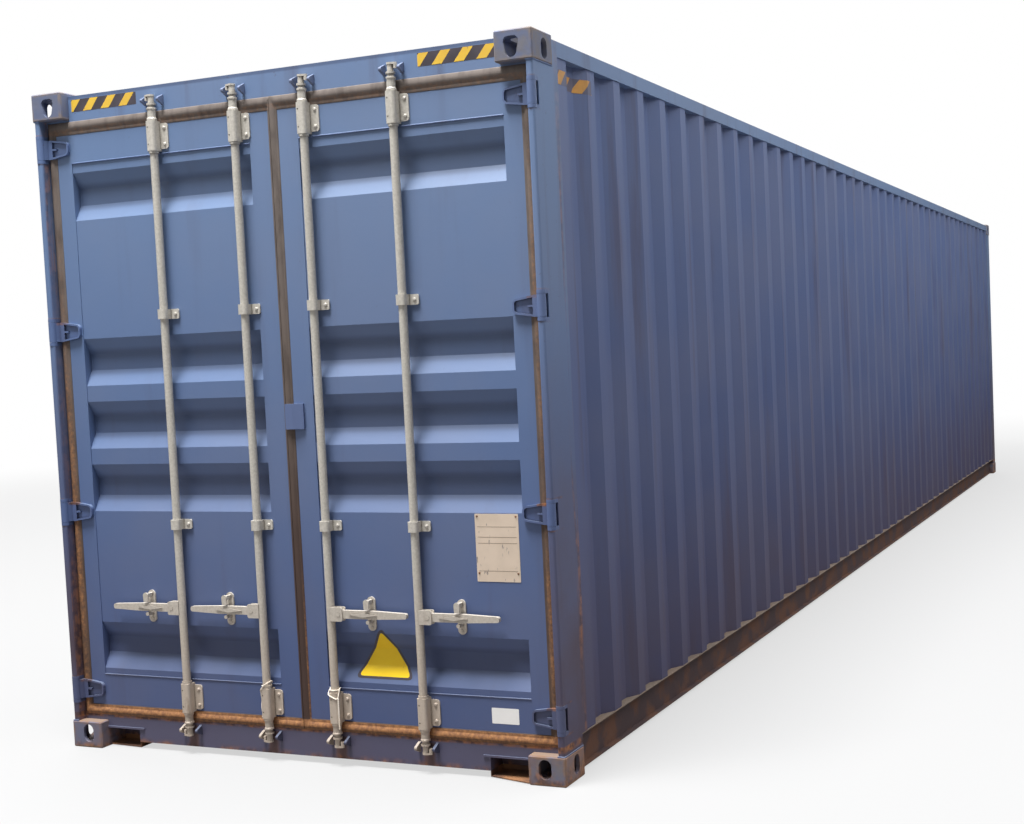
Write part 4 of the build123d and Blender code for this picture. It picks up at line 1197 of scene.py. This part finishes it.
@dataclass
class DoorTies:
    """Cream wire ties round the inner bars, wound above the low covers and hanging down them.

    Each tie's turn starts behind its bar. The points of its wrap follow in millimetres: x from
    the bar's axis, and y and z in the shared frame.
    """

    finishes: Finishes
    bar_depth: float = -6.069
    ring_radius: float = 0.0198
    ring_level: float = 0.3248
    ring_points: int = 24
    strand: float = 0.0020
    spacing: float = 0.003
    tail: tuple[float, float, float, float] = (0.194, -6.0871, 0.292, 0.160)
    tail_twist: float = 0.016
    tail_half: Flat = (0.0024, 0.0003)
    wraps: tuple[tuple[Body, str, float, int, tuple[Point, ...]], ...] = (
        (Body.LEFT_DOOR, "left", -0.170, 1, (
            (8, -6049.8, 329), (17, -6055, 337), (21.8, -6063, 343), (21.6, -6073, 344),
            (15.5, -6084.5, 339), (2, -6092, 330), (-8, -6093, 320), (-17.5, -6091, 310),
            (-23.6, -6083, 302), (-24.4, -6079, 286), (-24.1, -6077, 262), (-24.8, -6080, 236),
            (-24.2, -6077, 205), (-24.6, -6079, 190))),
        (Body.RIGHT_DOOR, "right", 0.170, -1, (
            (-8, -6049.8, 327), (-17, -6055, 330), (-21.8, -6064, 331), (-22, -6075, 326),
            (-23.5, -6082, 316), (-20, -6090.6, 308), (-12, -6093, 302), (0, -6093.2, 297),
            (10, -6093.2, 292.5), (17.5, -6091.1, 290), (21.7, -6087.3, 291.5), (23.4, -6084, 300),
            (24.2, -6080, 312), (24.1, -6077, 321), (22.4, -6071, 330), (21, -6062, 331),
            (16, -6054, 330))))

    def twisted(self) -> list[list[Point]]:
        """The two strands of the right tie's tail."""
        x, y, high, low = self.tail
        wide, deep = self.tail_half
        levels = [high - k * self.spacing for k in range(int((high - low) / self.spacing) + 1)]
        return [[(x + wide * math.cos(z / self.tail_twist * math.tau + phase),
                  y + deep * math.sin(z / self.tail_twist * math.tau + phase), z) for z in levels]
                for phase in (0.0, math.pi)]

    def strands(self, side: str, bar: float, turn: int,
                wrap: tuple[Point, ...]) -> list[list[Point]]:
        """The runs of one tie.

        Args:
            side: left or right; only the right tie has a tail.
            bar: where the bar's axis is along x.
            turn: 1 or -1, the way that the tie is wound.
            wrap: the points after the turn.

        Returns:
            The points of each run.
        """
        angles = [k * math.tau / self.ring_points for k in range(self.ring_points)]
        ring = [(bar + turn * self.ring_radius * math.sin(angle),
                 self.bar_depth + self.ring_radius * math.cos(angle), self.ring_level)
                for angle in angles]
        run = ring + [(bar + x / 1000, y / 1000, z / 1000) for x, y, z in wrap]
        return [run] + (self.twisted() if side == "right" else [])

    def build(self) -> None:
        """Makes the tie of each leaf."""
        for body, side, bar, turn, wrap in self.wraps:
            points, edges = chained(self.strands(side, bar, turn, wrap))
            g = GeometryTree(f"{side}_tie", {"Radius": self.strand, "Spacing": self.spacing})
            curve = g.node("GeometryNodeMeshToCurve", None, {0: g.out(g.inlet, 0)})
            bent = g.node("GeometryNodeCurveSplineType", {"spline_type": "CATMULL_ROM"},
                          {0: g.out(curve)})
            g.close(g.tube(g.out(bent), 10), self.finishes.tie)
            settle(g.run(draft(f"{side}_tie", points, edges)), f"{side}_door_tie", None, body)


def between(start: Flat, end: Flat, share: float) -> Flat:
    """The flat point at a share of the way from start to end."""
    return tuple(start[i] + (end[i] - start[i]) * share for i in (0, 1))


@dataclass
class SealLips:
    """The seals' bulged outer lips, over the gap round each leaf and flattened behind each bar."""

    finishes: Finishes
    leaves: tuple[tuple[Body, str, Flat, Flat], ...] = (
        (Body.LEFT_DOOR, "left", (-1.138, -0.019), (-1.179, -0.0085)),
        (Body.RIGHT_DOOR, "right", (0.029, 1.138), (-0.0058, 1.179)))
    inner_levels: Flat = (0.188, 2.714)
    outer_levels: Flat = (0.141, 2.771)
    face: float = -6.0443
    lay: float = 0.0021
    section: tuple[Flat, ...] = ((0.0, 0.0004), (0.04, 0.0014), (0.20, 0.0018), (0.26, 0.0010),
                                 (0.34, 0.0040), (0.50, 0.0072), (0.66, 0.0074), (0.82, 0.0048),
                                 (0.94, 0.0022), (1.0, 0.0004))
    pressed: float = 0.0010
    free: float = 0.0080
    seam_reach: float = 0.05
    seam_share: float = 0.6
    seam_edge: float = 0.0040
    bar_reach: Flat = (0.026, 0.048)
    step: float = 0.014

    def room(self, x: float) -> float:
        """Height that the lip may have at a place, low behind a bar."""
        near, clear = self.bar_reach
        gap = min(abs(x - bar) for bar in BARS)
        share = min(max((gap - near) / (clear - near), 0.0), 1.0)
        return self.pressed + share * share * (3 - 2 * share) * self.free

    def ring(self, inner: Flat, outer: Flat, level: bool) -> tuple[Point, ...]:
        """One section of the lip, its front from the leaf outward and then its back."""
        front = []
        for share, height in self.section:
            x, z = between(inner, outer, share)
            height = min(height, self.room(x)) if level else height
            if not level and abs(x) < self.seam_reach:
                height = max(height * self.seam_share, self.seam_edge * share)
            front.append((x, self.face - self.lay * share - height, z))
        back = [(outer[0], self.face - self.lay, outer[1]), (inner[0], self.face, inner[1])]
        return tuple(front + back)

    def rings(self, inner: Flat, outer: Flat) -> list[tuple[Point, ...]]:
        """The sections all round a leaf, mitred at its corners."""
        corners = [(0, 0), (1, 0), (1, 1), (0, 1)]
        made = []
        for here, after in zip(corners, corners[1:] + corners[:1]):
            a, b = ((inner[i], self.inner_levels[k]) for i, k in (here, after))
            c, d = ((outer[i], self.outer_levels[k]) for i, k in (here, after))
            count = int(max(abs(b[0] - a[0]), abs(b[1] - a[1])) / self.step)
            made += [self.ring(between(a, b, n / count), between(c, d, n / count),
                               here[1] == after[1]) for n in range(count)]
        return made

    def build(self) -> None:
        """Makes the lip of each leaf."""
        for body, side, inner, outer in self.leaves:
            rings = self.rings(inner, outer)
            wide = len(rings[0])
            shape = bmesh.new()
            grid = [[shape.verts.new(point) for point in ring] for ring in rings]
            for ring, after in zip(grid, grid[1:] + grid[:1]):
                for k in range(wide):
                    corners = (ring[k], ring[(k + 1) % wide], after[(k + 1) % wide], after[k])
                    shape.faces.new(corners).smooth = True
            bmesh.ops.recalc_face_normals(shape, faces=shape.faces)
            name = f"{side}_seal_lip"
            settle(meshed(shape, name), name, self.finishes.rubber, body)


@dataclass
class NotchPlates:
    """Rusty foot plates under the sill's notches, with the lip that stands behind each."""

    finishes: Finishes
    spans: tuple[tuple[float, float, float], ...] = (
        (-0.886, -1.056, -6.034), (0.868, 1.056, -6.090))
    front: float = -6.045
    back: float = -5.946
    foot: Flat = (0.003, 0.008)
    lip_top: float = 0.027
    lip_thickness: float = 0.004
    bevel: float = 0.0008

    def prism(self, shape: bmesh.types.BMesh, corners: list[Flat], low: float, high: float) -> None:
        """Adds an upright prism on a foot outline."""
        foot, top = ([shape.verts.new((x, y, z)) for x, y in corners] for z in (low, high))
        for i in range(len(corners)):
            shape.faces.new((foot[i - 1], foot[i], top[i], top[i - 1]))
        shape.faces.new(foot)
        shape.faces.new(top)

    def build(self) -> None:
        """Makes the plates of both notches as one bevelled piece."""
        shape = bmesh.new()
        for inner, outer, reach in self.spans:
            foot = [(inner, self.front), (outer, reach), (outer, self.back), (inner, self.back)]
            rear = self.back + self.lip_thickness
            lip = rectangle(inner, outer, self.back, rear)
            edge = inner - math.copysign(self.lip_thickness, inner)
            side = rectangle(edge, inner, self.front, rear)
            self.prism(shape, foot, *self.foot)
            for outline in (lip, side):
                self.prism(shape, outline, self.foot[0], self.lip_top)
        bmesh.ops.recalc_face_normals(shape, faces=shape.faces)
        bmesh.ops.bevel(shape, geom=shape.edges[:], offset=self.bevel, segments=2, affect="EDGES")
        settle(meshed(shape, "notch_plates"), "notch_plates", self.finishes.rusted, Body.FRAME)


@dataclass
class DeckBoards:
    """Plywood sheets laid over the deck with open joints."""

    finishes: Finishes
    top: float = 0.167
    thickness: float = 0.0015
    joint: float = 0.003
    columns: int = 2
    rows: int = 8
    half_width: float = 1.162
    back: float = -5.900
    front: float = 2.770

    def build(self) -> None:
        """Makes the sheets in front of the tunnel, one instance for each."""
        wide = 2 * self.half_width / self.columns
        long = (self.front - self.back) / self.rows
        points = [(-self.half_width + (i + 0.5) * wide, self.back + (k + 0.5) * long,
                   self.top + self.thickness / 2)
                  for i in range(self.columns) for k in range(self.rows)]
        g = GeometryTree("deck_sheets", {"Wide": wide - self.joint, "Long": long - self.joint,
                                         "Thick": self.thickness})
        size = g.node("ShaderNodeCombineXYZ", None,
                      {i: g.size(key) for i, key in enumerate(("Wide", "Long", "Thick"))})
        sheet = g.node("GeometryNodeMeshCube", None, {"Size": g.out(size)})
        laid = g.node("GeometryNodeInstanceOnPoints", None,
                      {"Points": g.out(g.inlet, 0), "Instance": g.out(sheet)})
        g.close(g.out(laid), self.finishes.plywood)
        settle(g.run(draft("deck_sheets", points)), "deck_sheets", None, Body.FRAME)


def main() -> None:
    """Builds the scene in order."""
    logging.basicConfig(level=logging.INFO, format="%(name)s %(message)s")
    PhotoView().build()
    Studio().build()
    finishes = Finishes()
    Dresser(finishes).dress()
    HazardStripes(finishes).build()
    DoorMarks(finishes).build()
    Fasteners(finishes).build()
    WeldBeads(finishes).build()
    DoorTies(finishes).build()
    SealLips(finishes).build()
    NotchPlates(finishes).build()
    DeckBoards(finishes).build()


if __name__ == "__main__":
    main()
